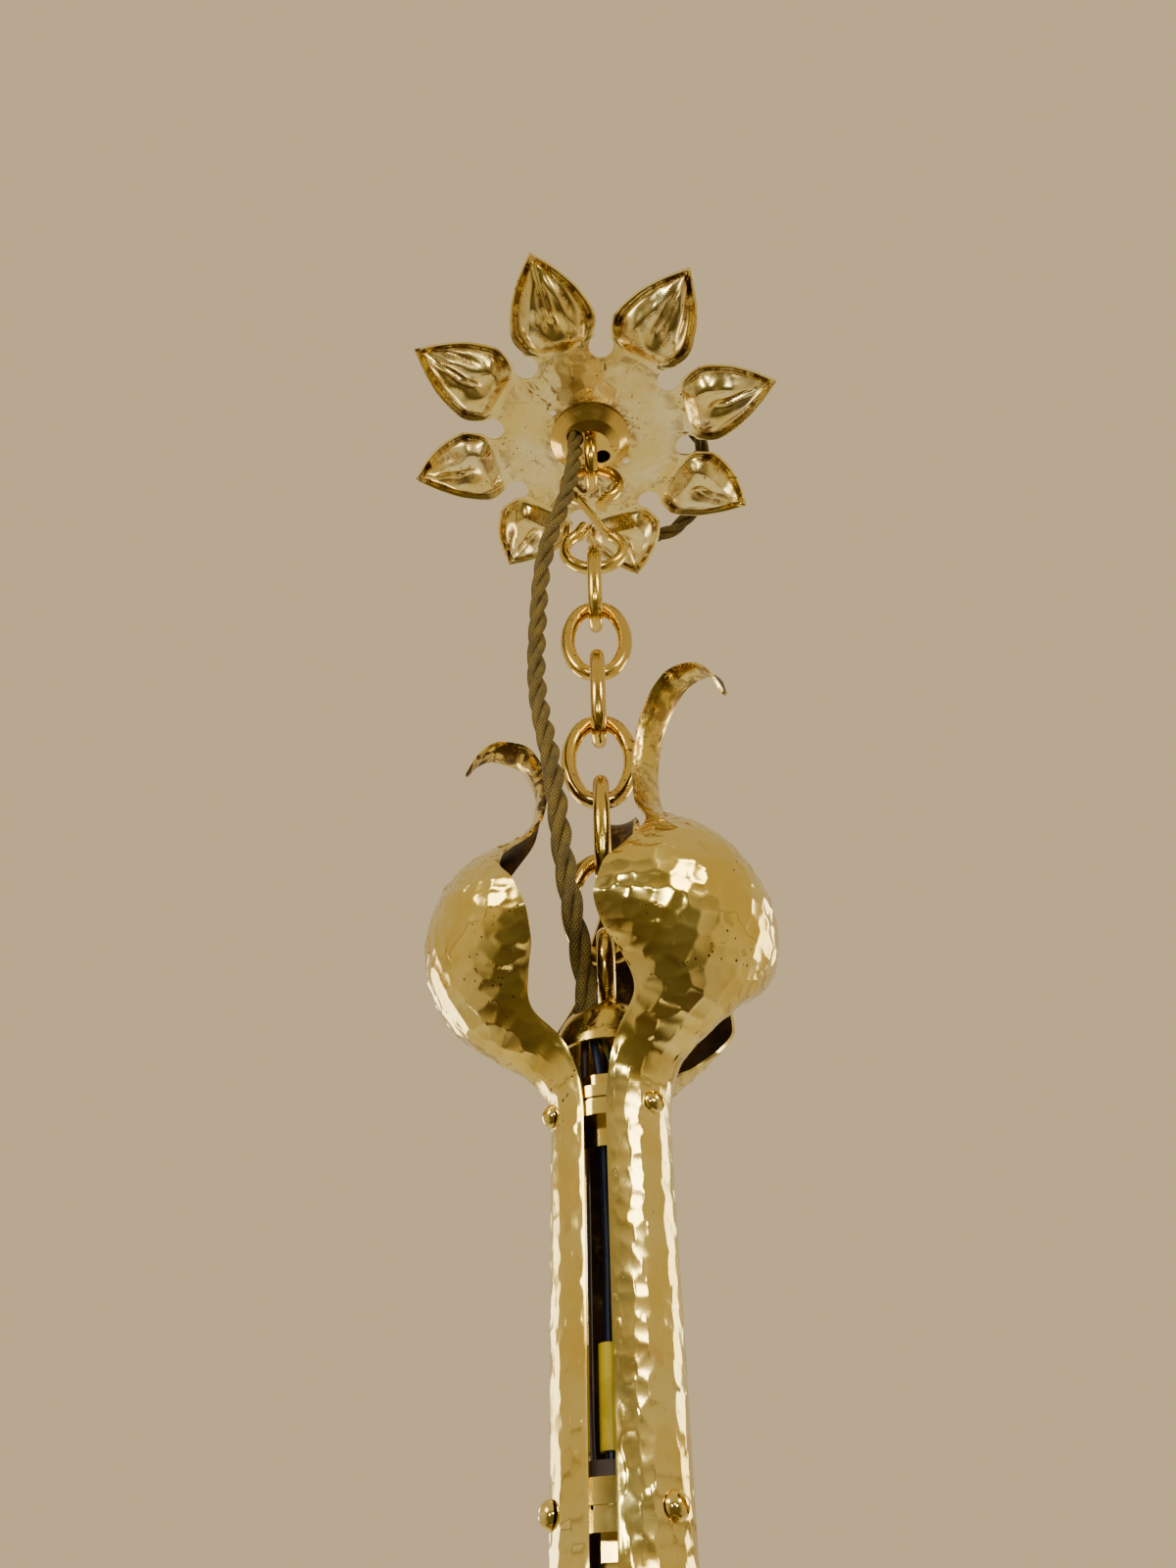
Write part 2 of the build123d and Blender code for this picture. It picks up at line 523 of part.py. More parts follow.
# Behind the plate it rises from the entry, turns over and lies in an open bow to one side.
TAIL_ROUTE = [
    (-7.0, -5.0, BOSS_BOTTOM + 1.0), (-7.0, -5.0, 9.0), (-8.6, 6.0, 27.0), (-8.6, 28.0, 33.0),
    (-3.0, 48.0, 27.0), (9.0, 64.0, 18.0), (27.0, 70.5, 13.5), (43.0, 64.0, 12.0),
    (53.5, 49.0, 11.6), (57.0, 30.0, 11.6), (54.0, 12.0, 12.0), (46.0, -1.0, 13.0),
]


def run_length(a, b):
    return (Vector(*b) - Vector(*a)).length


def bend_radii(points):
    """The largest even radius that each bend's two runs allow."""
    radii = []
    for a, b, c in zip(points, points[1:], points[2:]):
        turn = (Vector(*b) - Vector(*a)).get_angle(Vector(*c) - Vector(*b))
        radii.append(0.45 * min(run_length(a, b), run_length(b, c)) / tan(radians(turn) / 2))
    return radii


def tube(points, radius, name):
    radii = bend_radii(points)
    path = FilletPolyline(*points, radius=radii)
    body = wire_sweep(path, radius)
    print(f"{name}: length {path.length:.1f}, least bend {min(radii):.1f},"
          f" volume ratio {body.volume / (pi * radius ** 2 * path.length):.4f}")
    return body


CORE_PASSES = [polar(8.2, turn)[:2] for turn in (-105.0, -150.0, -60.0)]
CORE_START = FLEX_ROUTE[-1][2] - 0.8
CORE_TURNS = (-90.0, 150.0, 30.0)   # places of the cores about the middle of flex and nipple


def upper_core(index):
    """From the cut end of the flex, past the upper collar and down inside the straps."""
    x, y = CORE_PASSES[index]
    off_x, off_y, _ = polar(1.5, CORE_TURNS[index])
    return [
        (CAP_ENTRY[0] + off_x, CAP_ENTRY[1] + off_y, CORE_START),
        (x, y, UPPER_COLLAR_TOP + 9.0), (x, y, UPPER_COLLAR_BOTTOM - 14.0),
        (x * 1.08 + 0.6, y * 1.05, UPPER_COLLAR_BOTTOM - 32.0), (x, y, SLEEVE_TOP + 5.0),
    ]


def lower_core(index):
    """Into the nipple, as far as the lampholder."""
    x, y = CORE_PASSES[index]
    in_x, in_y, _ = polar(NIPPLE_SPREAD, CORE_TURNS[index])
    return [(x, y, SLEEVE_BOTTOM - 2.0), (x * 0.8, y * 0.8, LOWER_COLLAR_TOP - 1.5),
            (in_x, in_y, NIPPLE_TOP + 0.5), (in_x, in_y, NIPPLE_BOTTOM + 2.0)]


def core_blue():
    """Cut once, with both ends in the splice sleeve."""
    x, y = CORE_PASSES[0]
    above, below = (x, y, SLEEVE_TOP - SLEEVE_GRIP), (x, y, SLEEVE_BOTTOM + SLEEVE_GRIP)
    upper = tube(upper_core(0) + [above], CORE_R, "core_blue upper")
    return upper + tube([below] + lower_core(0), CORE_R, "core_blue lower")


def whole_core(index, name):
    return tube(upper_core(index) + lower_core(index), CORE_R, name)


def splice_sleeve():
    x, y = CORE_PASSES[0]
    bore = upright(CORE_R + SLEEVE_GAP, SLEEVE_BOTTOM - 1, SLEEVE_TOP + 1, x, y)
    return upright(SLEEVE_R, SLEEVE_BOTTOM, SLEEVE_TOP, x, y) - bore


if __name__ == "__main__":
    save("ceiling_plate", ceiling_plate())
    save("boss_cup", boss_cup())
    save("ring_bolt", ring_bolt())
    save("ring_bolt_washer", ring_bolt_washer())
    save("ring_bolt_nut", ring_bolt_nut())
    save("s_hook", s_hook())
    for i, top in enumerate(LINK_TOPS):
        save(f"link_{i + 1}", link(top, along_y=i % 2 == 0))
    save("eye_bolt", eye_bolt())
    save("stem_cap", stem_cap())
    save("cap_nut", cap_nut())
    save("upper_locknut", rod_nut(UPPER_COLLAR_TOP, UPPER_COLLAR_TOP + 4.5, 12.5))
    save("upper_collar", upper_collar())
    save("collar_nut", rod_nut(UPPER_COLLAR_BOTTOM - 7.0, UPPER_COLLAR_BOTTOM, 11.0))
    for name in STRAPS:
        save(name, leaf_strap(name))
    save("upper_screws", strap_screws(UPPER_SCREW_Z))
    save("lower_screws", strap_screws(LOWER_SCREW_Z))
    save("fibre_washer", fibre_washer())
    save("lower_collar", lower_collar())
    save("lower_locknut", hexagon(17.0, GALLERY_TOP, LOWER_COLLAR_BOTTOM, NIPPLE_R))
    save("nipple", nipple())
    save("gallery", gallery())
    save("gallery_thumbscrews", gallery_thumbscrews())
    save("glass_shade", glass_shade())
    save("lampholder_cap", lampholder_cap())
    save("lampholder_body", lampholder_body())
    save("shade_ring", shade_ring())
    save("bulb_cap", bulb_cap())
    save("bulb_glass", bulb_glass())
    save("flex", tube(FLEX_ROUTE, FLEX_R, "flex"))
    save("flex_tail", tube(TAIL_ROUTE, FLEX_R, "flex_tail"))
    save("core_blue", core_blue())
    save("core_brown", whole_core(1, "core_brown"))
    save("core_earth", whole_core(2, "core_earth"))
    save("splice_sleeve", splice_sleeve())
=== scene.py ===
import json
from math import cos, pi, radians, sin, sqrt

import bpy
import numpy as np
from mathutils import Matrix, Vector

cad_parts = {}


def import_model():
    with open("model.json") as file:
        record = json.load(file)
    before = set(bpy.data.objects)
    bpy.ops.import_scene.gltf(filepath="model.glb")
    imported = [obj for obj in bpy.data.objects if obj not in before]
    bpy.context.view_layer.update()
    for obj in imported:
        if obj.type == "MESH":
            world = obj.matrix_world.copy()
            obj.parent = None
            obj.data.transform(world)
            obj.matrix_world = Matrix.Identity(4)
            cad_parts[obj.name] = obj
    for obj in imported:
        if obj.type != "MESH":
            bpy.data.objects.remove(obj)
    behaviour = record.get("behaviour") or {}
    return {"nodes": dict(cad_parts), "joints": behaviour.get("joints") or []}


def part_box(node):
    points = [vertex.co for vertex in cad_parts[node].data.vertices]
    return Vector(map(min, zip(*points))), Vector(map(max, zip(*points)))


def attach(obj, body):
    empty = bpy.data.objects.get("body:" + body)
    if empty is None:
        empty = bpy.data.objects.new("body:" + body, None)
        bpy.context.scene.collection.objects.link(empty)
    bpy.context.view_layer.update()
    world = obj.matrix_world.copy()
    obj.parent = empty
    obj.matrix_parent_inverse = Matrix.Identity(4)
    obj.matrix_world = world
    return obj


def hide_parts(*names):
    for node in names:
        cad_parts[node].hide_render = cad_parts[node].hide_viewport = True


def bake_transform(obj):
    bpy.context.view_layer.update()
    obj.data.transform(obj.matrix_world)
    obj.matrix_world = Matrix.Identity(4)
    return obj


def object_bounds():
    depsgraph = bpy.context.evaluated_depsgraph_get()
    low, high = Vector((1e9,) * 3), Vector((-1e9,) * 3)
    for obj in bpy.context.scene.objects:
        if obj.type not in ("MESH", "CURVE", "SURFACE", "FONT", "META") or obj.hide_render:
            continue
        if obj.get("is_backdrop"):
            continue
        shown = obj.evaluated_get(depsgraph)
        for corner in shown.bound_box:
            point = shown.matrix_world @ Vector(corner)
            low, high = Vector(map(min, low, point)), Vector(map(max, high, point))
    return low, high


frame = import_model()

CAD_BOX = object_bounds()
MM = 0.001

# ---- camera, from below and in front, as the lamp is seen from the floor of a room -----------
CAMERA_PLACE = (0.0, -0.310, -0.487)
CAMERA_PITCH, CAMERA_YAW, CAMERA_ROLL = radians(41.1), radians(-0.82), radians(-1.18)
CAMERA_LENS = 27.0


def make_camera():
    ahead = Vector((sin(CAMERA_YAW), cos(CAMERA_YAW), 0))
    side = Vector((cos(CAMERA_YAW), -sin(CAMERA_YAW), 0))
    up = Vector((0, 0, 1))
    look = cos(CAMERA_PITCH) * ahead + sin(CAMERA_PITCH) * up
    over = -sin(CAMERA_PITCH) * ahead + cos(CAMERA_PITCH) * up
    right = cos(CAMERA_ROLL) * side + sin(CAMERA_ROLL) * over
    top = -sin(CAMERA_ROLL) * side + cos(CAMERA_ROLL) * over
    data = bpy.data.cameras.new("camera")
    data.lens, data.sensor_width, data.clip_start = CAMERA_LENS, 36.0, 0.01
    camera = bpy.data.objects.new("camera", data)
    turn = Matrix((right, top, -look)).transposed().to_4x4()
    camera.matrix_world = Matrix.Translation(CAMERA_PLACE) @ turn
    bpy.context.scene.collection.objects.link(camera)
    bpy.context.scene.camera = camera


def area_light(name, place, target, size, power, colour):
    data = bpy.data.lights.new(name, "AREA")
    data.shape, data.size, data.energy, data.color = "DISK", size, power, colour
    light = bpy.data.objects.new(name, data)
    light.location = place
    light.rotation_euler = (Vector(target) - Vector(place)).to_track_quat("-Z", "Y").to_euler()
    bpy.context.scene.collection.objects.link(light)


# ---- materials -------------------------------------------------------------------------------
class Shader:
    """A node material under construction: each method adds one node and returns its output."""

    def __init__(self, name, colour=(0.8, 0.8, 0.8), metal=0.0, rough=0.5):
        self.material = bpy.data.materials.new(name)
        self.material.use_nodes = True
        self.tree = self.material.node_tree
        self.surface = self.tree.nodes["Principled BSDF"]
        self.surface.inputs["Base Color"].default_value = (*colour, 1)
        self.surface.inputs["Metallic"].default_value = metal
        self.surface.inputs["Roughness"].default_value = rough
        self.place = self.add("ShaderNodeTexCoord").outputs["Object"]

    def add(self, kind, **values):
        node = self.tree.nodes.new(kind)
        for key, value in values.items():
            setattr(node, key, value)
        return node

    def plug(self, socket, value):
        if isinstance(value, bpy.types.NodeSocket):
            self.tree.links.new(value, socket)
        else:
            socket.default_value = value

    def stretched(self, scale):
        node = self.add("ShaderNodeMapping")
        self.plug(node.inputs["Vector"], self.place)
        node.inputs["Scale"].default_value = scale
        return node.outputs["Vector"]

    def noise(self, per_metre, detail=3.0, rough=0.5, where=None, warp=0.0):
        node = self.add("ShaderNodeTexNoise")
        self.plug(node.inputs["Vector"], where or self.place)
        for key, value in (("Scale", per_metre), ("Detail", detail), ("Roughness", rough),
                           ("Distortion", warp)):
            node.inputs[key].default_value = value
        return node.outputs["Fac"]

    def cells(self, per_metre):
        node = self.add("ShaderNodeTexVoronoi", feature="F1")
        self.plug(node.inputs["Vector"], self.place)
        node.inputs["Scale"].default_value = per_metre
        return node.outputs["Distance"]

    def attribute(self, name):
        return self.add("ShaderNodeAttribute", attribute_name=name).outputs["Fac"]

    def ramp(self, value, low, high, out_low=0.0, out_high=1.0):
        node = self.add("ShaderNodeMapRange", interpolation_type="SMOOTHSTEP")
        for key, number in (("From Min", low), ("From Max", high), ("To Min", out_low),
                            ("To Max", out_high)):
            node.inputs[key].default_value = number
        self.plug(node.inputs["Value"], value)
        return node.outputs["Result"]

    def math(self, how, a, b=0.0, c=0.0):
        node = self.add("ShaderNodeMath", operation=how)
        for socket, value in zip(node.inputs, (a, b, c)):
            self.plug(socket, value)
        return node.outputs["Value"]

    def mix(self, share, a, b):
        node = self.add("ShaderNodeMix", data_type="RGBA")
        self.plug(node.inputs["Factor"], share)
        colours = [socket for socket in node.inputs if socket.type == "RGBA"]
        for socket, value in zip(colours, (a, b)):
            self.plug(socket, (*value, 1) if isinstance(value, tuple) else value)
        return next(socket for socket in node.outputs if socket.type == "RGBA")

    def bump(self, height, depth, strength=1.0):
        node = self.add("ShaderNodeBump")
        node.inputs["Strength"].default_value = strength
        node.inputs["Distance"].default_value = depth
        self.plug(node.inputs["Height"], height)
        previous = self.surface.inputs["Normal"]
        if previous.is_linked:
            self.plug(node.inputs["Normal"], previous.links[0].from_socket)
        self.plug(previous, node.outputs["Normal"])

    def set(self, **values):
        for key, value in values.items():
            self.plug(self.surface.inputs[key.replace("_", " ")], value)
        return self


BRASS = (0.83, 0.60, 0.115)
WARM_BRASS = (0.74, 0.46, 0.10)
PALE_BRASS = (0.88, 0.72, 0.25)
BROWN = (0.050, 0.024, 0.007)
RED_BROWN = (0.30, 0.135, 0.030)
PLATE_TONES = ((0.82, 0.62, 0.18), (0.90, 0.77, 0.38))
CHAIN_TONES = ((0.78, 0.55, 0.11), (0.72, 0.48, 0.13))


def brass(name, tarnish=0.5, rough=0.12, marks=0.0, attribute=None, tones=(BRASS, PALE_BRASS)):
    """Polished brass: colour drift, brown tarnish in patches and pits, fine scratches; with an attribute,
    brown patina that is partly painted shade in creases.
    """
    s = Shader(name, BRASS, 1.0, rough)
    drift = s.ramp(s.noise(38, 4, 0.6), 0.35, 0.7)
    tone = s.mix(drift, *tones)
    tone = s.mix(s.ramp(s.noise(90, 3, 0.6, warp=0.6), 0.56, 0.74, 0, 0.55), tone, WARM_BRASS)
    patches = s.ramp(s.noise(120, 6, 0.66, warp=1.1), 0.66 - 0.1 * tarnish, 0.80 - 0.1 * tarnish)
    pits = s.ramp(s.cells(420), 0.10, 0.26, 1.0, 0.0)
    pits = s.math("MULTIPLY", pits, s.ramp(s.noise(60, 2), 0.52, 0.66))
    dark = s.math("MAXIMUM", s.math("MULTIPLY", patches, 0.35 + 0.5 * tarnish), pits)
    # The attribute darkens creases, grooves and curl tips: partly brown patina, partly painted shade.
    if attribute:
        broken = s.ramp(s.noise(150, 5, 0.7, warp=1.0), 0.40, 0.60, 0.05, 1.2)
        held_patina_and_shade = s.math("MULTIPLY", s.attribute(attribute), broken)
        dark = s.math("MAXIMUM", dark, s.math("MINIMUM", held_patina_and_shade, 1.0))
    tone = s.mix(s.ramp(dark, 0.05, 0.55, 0, 0.7), tone, RED_BROWN)
    tone = s.mix(s.ramp(dark, 0.35, 1.0, 0, 0.93), tone, BROWN)
    smear = s.ramp(s.noise(55, 5, 0.7), 0.3, 0.75, rough * 0.75, rough * 1.9)
    smear = s.math("ADD", smear, s.math("MULTIPLY", dark, 0.34))
    scratches = s.noise(900, 2, 0.5, s.stretched((1, 1, 0.05)))
    s.bump(scratches, 0.00001, 0.35)
    s.bump(s.math("MULTIPLY", dark, -1.0), 0.00006, 0.5)
    if marks:
        s.bump(s.noise(150, 2, 0.4), marks, 0.5)
    return s.set(Base_Color=tone, Roughness=smear).material


def dark_patina():
    """The unpolished inside of the leaf straps: dark brown with olive and copper drift."""
    s = Shader("dark_patina", BROWN, 0.85, 0.38)
    tone = s.mix(s.ramp(s.noise(70, 5, 0.65), 0.35, 0.7), (0.035, 0.018, 0.006), (0.12, 0.062, 0.018))
    tone = s.mix(s.ramp(s.noise(160, 4, 0.6), 0.58, 0.78), tone, (0.34, 0.22, 0.085))
    s.bump(s.noise(330, 4), 0.00012, 0.5)
    return s.set(Base_Color=tone, Roughness=s.ramp(s.noise(120, 4), 0.3, 0.7, 0.26, 0.5)).material


def steel():
    s = Shader("bright_steel", (0.55, 0.55, 0.56), 1.0, 0.3)
    tone = s.mix(s.ramp(s.noise(200, 4), 0.4, 0.7), (0.5, 0.5, 0.52), (0.66, 0.65, 0.62))
    s.bump(s.noise(800, 2, 0.5, s.stretched((1, 1, 0.1))), 0.00002, 0.4)
    return s.set(Base_Color=tone, Roughness=s.ramp(s.noise(150, 4), 0.3, 0.7, 0.2, 0.42)).material


def braid():
    """Woven cotton over each strand: two families of yarns that cross, gold yarns with painted shade in dark
    olive where they dip.
    """
    s = Shader("braided_cotton", (0.35, 0.27, 0.08), 0.0, 0.72)
    uv = s.add("ShaderNodeSeparateXYZ")
    s.plug(uv.inputs["Vector"], s.add("ShaderNodeUVMap", uv_map="strand").outputs["UV"])
    around, along = uv.outputs["X"], uv.outputs["Y"]
    turns = s.math("MULTIPLY", around, 9.0)
    yarns = []
    for sign in (1.0, -1.0):
        phase = s.math("ADD", turns, s.math("MULTIPLY", along, sign * 0.62))
        wave = s.math("COSINE", s.math("MULTIPLY", phase, 2 * pi))
        yarns.append(s.math("MULTIPLY_ADD", wave, 0.5, 0.5))
    over = s.math("MAXIMUM", *yarns)
    thread = s.noise(2600, 2, 0.6)
    drift = s.ramp(s.noise(160, 4, 0.6), 0.32, 0.7)
    gold = s.mix(drift, (0.215, 0.135, 0.010), (0.105, 0.070, 0.006))
    # Painted shade: dark olive between the yarn crests.
    tone = s.mix(s.ramp(over, 0.2, 0.95), (0.030, 0.022, 0.005), gold)
    tone = s.mix(s.ramp(thread, 0.5, 0.8, 0, 0.3), tone, (0.36, 0.25, 0.05))
    tone = s.mix(s.ramp(s.noise(75, 3), 0.58, 0.75, 0, 0.5), tone, (0.07, 0.05, 0.012))
    s.bump(over, 0.00028, 0.9)
    s.bump(thread, 0.00006, 0.6)
    s.set(Base_Color=tone)
    s.surface.inputs["Sheen Weight"].default_value = 0.02
    s.surface.inputs["Sheen Roughness"].default_value = 0.4
    return s.material


def plastic(name, colour, rough=0.32, stripe=None):
    s = Shader(name, colour, 0.0, rough)
    darker = tuple(0.72 * c for c in colour)
    tone = s.mix(s.ramp(s.noise(110, 4), 0.35, 0.7), colour, darker)
    if stripe:
        band = s.ramp(s.noise(240, 1, 0.3, s.stretched((1, 1, 0.12))), 0.47, 0.53)
        tone = s.mix(band, tone, stripe)
    s.bump(s.noise(420, 3), 0.00003, 0.4)
    smear = s.ramp(s.noise(90, 4), 0.3, 0.7, rough * 0.8, rough * 1.4)
    return s.set(Base_Color=tone, Roughness=smear).material


def opal_glass():
    """White glass with faint clouds."""
    s = Shader("opal_glass", (0.90, 0.88, 0.82), 0.0, 0.2)
    cloud = s.mix(s.ramp(s.noise(24, 4, 0.5), 0.3, 0.7), (0.93, 0.91, 0.86), (0.84, 0.81, 0.74))
    s.bump(s.noise(45, 2), 0.0003, 0.3)
    s.set(Base_Color=cloud, Roughness=s.ramp(s.noise(60, 3), 0.3, 0.7, 0.14, 0.26))
    s.surface.inputs["Subsurface Weight"].default_value = 0.5
    s.surface.inputs["Subsurface Radius"].default_value = (0.012, 0.010, 0.008)
    s.surface.inputs["Coat Weight"].default_value = 0.4
    s.surface.inputs["Coat Roughness"].default_value = 0.05
    return s.material


def pearl_glass():
    """Frosted glass that lets a little light through."""
    s = Shader("pearl_glass", (0.92, 0.91, 0.88), 0.0, 0.35)
    cloud = s.mix(s.ramp(s.noise(60, 4), 0.3, 0.7), (0.93, 0.92, 0.89), (0.86, 0.85, 0.81))
    s.bump(s.noise(1500, 2), 0.00002, 0.4)
    s.set(Base_Color=cloud)
    s.surface.inputs["Transmission Weight"].default_value = 0.35
    return s.material


MATERIALS = {
    "polished": brass("polished_brass", 0.45, 0.10),
    "spun": brass("spun_brass", 0.25, 0.14),
    "hammered": brass("hammered_brass", 0.30, 0.11, attribute="patina"),
    "repousse": brass("repousse_brass", 0.9, 0.15, 0.0001, "patina", PLATE_TONES),
    "chain": brass("chain_brass", 0.95, 0.13, tones=CHAIN_TONES),
    "aged": brass("aged_brass", 1.35, 0.2, 0.0002),
    "patina": dark_patina(),
    "steel": steel(),
    "braid": braid(),
    # The blue core is darkened nearly to black: painted shade for the core inside the stem.
    "blue": plastic("blue_pvc", (0.006, 0.014, 0.05)),
    "brown": plastic("brown_pvc", (0.035, 0.014, 0.005)),
    "earth": plastic("earth_pvc", (0.015, 0.045, 0.006), stripe=(0.20, 0.155, 0.006)),
    "yellow": plastic("yellow_sleeve", (0.80, 0.60, 0.02), 0.28),
    "fibre": plastic("fibre", (0.035, 0.02, 0.013), 0.6),
    "bakelite": plastic("black_bakelite", (0.016, 0.014, 0.013), 0.18),
    "opal": opal_glass(),
    "pearl": pearl_glass(),
}
NODE_MATERIALS = {
    **{name: "chain" for name in ["boss_cup", "ring_bolt", "s_hook", "eye_bolt"]},
    **{f"link_{i}": "chain" for i in range(1, 7)},
    "ring_bolt_washer": "steel", "ring_bolt_nut": "steel", "cap_nut": "steel",
    "bulb_cap": "steel", "stem_cap": "aged", "gallery": "spun", "fibre_washer": "fibre",
    "lampholder_body": "bakelite", "shade_ring": "bakelite", "glass_shade": "opal",
    "bulb_glass": "pearl", "splice_sleeve": "yellow",
}


def dress_nodes():
    """Every CAD node gets its material; brass is the rule."""
    for name, node in frame["nodes"].items():
        material = MATERIALS[NODE_MATERIALS.get(name, "polished")]
        node.data.materials.clear()
        node.data.materials.append(material)
        for polygon in node.data.polygons:
            polygon.material_index = 0


# ---- mesh helpers ----------------------------------------------------------------------------
def add_mesh(name, points, faces, materials, face_materials=None):
    """A smooth mesh object from points in millimetres."""
    mesh = bpy.data.meshes.new(name)
    mesh.from_pydata((np.asarray(points) * MM).tolist(), [], np.asarray(faces).tolist())
    for material in materials:
        mesh.materials.append(MATERIALS[material])
    mesh.polygons.foreach_set("use_smooth", [True] * len(mesh.polygons))
    if face_materials is not None:
        mesh.polygons.foreach_set("material_index", np.asarray(face_materials, dtype=np.int32))
    mesh.update()
    piece = bpy.data.objects.new(name, mesh)
    bpy.context.scene.collection.objects.link(piece)
    return piece


def grid_faces(rows, columns):
    """Quads of a grid of points, rows by columns."""
    a = np.arange(rows - 1)[:, None] * columns + np.arange(columns - 1)[None, :]
    return np.stack([a, a + 1, a + columns + 1, a + columns], axis=-1).reshape(-1, 4)


def open_edges(faces):
    """The directed edges that only one face uses."""
    edges = np.concatenate([faces[:, [i, (i + 1) % 4]] for i in range(4)])
    edges = edges[edges[:, 0] != edges[:, 1]]
    keys = np.sort(edges, axis=1)
    order = np.unique(keys, axis=0, return_inverse=True, return_counts=True)
    return edges[order[2][order[1].reshape(-1)] == 1]


def sheet_shell(name, front, back, faces, materials):
    """A sheet with a front and a back face of the same points, joined along every open edge."""
    count = len(front)
    rims = open_edges(faces)
    walls = np.stack([rims[:, 1], rims[:, 0], rims[:, 0] + count, rims[:, 1] + count], axis=-1)
    everything = np.concatenate([faces, faces[:, ::-1] + count, walls])
    kinds = np.repeat([0, 1, 0], [len(faces), len(faces), len(walls)])
    piece = add_mesh(name, np.concatenate([front, back]), everything, materials, kinds)
    corners = piece.data.attributes.new("sharp_edge", "BOOLEAN", "EDGE")
    ends = np.empty(len(piece.data.edges) * 2, dtype=np.int64)
    piece.data.edges.foreach_get("vertices", ends)
    ends = np.sort(ends.reshape(-1, 2), axis=1)
    wanted = np.sort(np.concatenate([rims, rims + count]), axis=1)
    size = 2 * count + 1
    corners.data.foreach_set("value", np.isin(ends @ [size, 1], wanted @ [size, 1]))
    return piece


def set_attribute(piece, name, values):
    attribute = piece.data.attributes.new(name, "FLOAT", "POINT")
    attribute.data.foreach_set("value", np.asarray(values, dtype=np.float32))


def smoothstep(x, low, high):
    t = np.clip((x - low) / (high - low), 0, 1)
    return t * t * (3 - 2 * t)


def through(places, values, at):
    """A smooth curve through values at places, with no overshoot, read at other places."""
    places, values = np.asarray(places, float), np.asarray(values, float)
    steps = np.diff(places)
    slopes = np.diff(values) / steps
    tangents = np.concatenate([slopes[:1], slopes])
    before, after = slopes[:-1], slopes[1:]
    same = before * after > 0
    mean = 2 * before * after / np.where(same, before + after, 1)
    tangents[1:-1] = np.where(same, mean, 0)
    i = np.clip(np.searchsorted(places, at, side="right") - 1, 0, len(steps) - 1)
    h, t = steps[i], (at - places[i]) / steps[i]
    return (
        (2 * t ** 3 - 3 * t ** 2 + 1) * values[i] + (t ** 3 - 2 * t ** 2 + t) * h * tangents[i]
        + (3 * t ** 2 - 2 * t ** 3) * values[i + 1] + (t ** 3 - t ** 2) * h * tangents[i + 1]
    )


def lattice(seed, i, j):
    """A number from 0 to 1 for each lattice point, the same each time."""
    mixed = np.sin(i * 127.1 + j * 311.7 + seed * 74.7) * 43758.5453
    return mixed - np.floor(mixed)


def hammer_marks(u, v, size, seed):
    """Planished facets: each blow leaves a nearly flat, slightly tilted face of about that size."""
    x, y = u / size, v / size
    i, j = np.floor(x), np.floor(y)
    total, weight = np.zeros_like(x), np.zeros_like(x)
    for di in (-1, 0, 1):
        for dj in (-1, 0, 1):
            ci, cj = i + di, j + dj
            dx = x - ci - 0.5 - 0.66 * (lattice(seed, ci, cj) - 0.5)
            dy = y - cj - 0.5 - 0.66 * (lattice(seed + 1, ci, cj) - 0.5)
            near = dx * dx + dy * dy
            tilt = (lattice(seed + 2, ci, cj) - 0.5) * dx + (lattice(seed + 3, ci, cj) - 0.5) * dy
            face = (0.4 + 0.8 * lattice(seed + 4, ci, cj)) * near + 0.75 * tilt
            share = np.exp(-34 * near)
            total += share * face
            weight += share
    return total / weight


def turned(points, degrees):
    """Points turned about Z."""
    c, s = cos(radians(degrees)), sin(radians(degrees))
    return points @ np.array([[c, s, 0], [-s, c, 0], [0, 0, 1]])


def level(node, top):
    """The height of a CAD node's top or underside, in millimetres."""
    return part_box(node)[1 if top else 0].z / MM


# ---- leaf straps: three hammered leaves whose straight parts form the stem's tube ------------
SHEET = 1.0
TUBE_R, STRAP_HALF = 16.7, 14.3
LEAF_TURNS = {"leaf_front_right": -45.0, "leaf_front_left": -165.0, "leaf_back": 75.0}
CAP_TOP = level("stem_cap", True)
EYE_BOTTOM = CAP_TOP + 2.9
LOWER_SCREW_Z = level("lower_collar", True) - 5.5
# Darker curl tips: brown patina on the front leaves; on the back leaf's curl also painted shade.
CURL_PATINA_AND_SHADE = {"leaf_front_right": 0.42, "leaf_front_left": 0.75, "leaf_back": 0.6}
EDGE_PATINA = 0.16
COARSE_MARK, COARSE_DEPTH = 5.4, 0.85      # hammer marks on the bulb, and how deep
FINE_MARK, FINE_DEPTH = 3.6, 0.42          # and on the strap
MARK_LEVEL = 0.15                          # keeps the marks as much below as above the sheet
LEAF_STEP = 0.8
LEAF_COLUMNS = 113


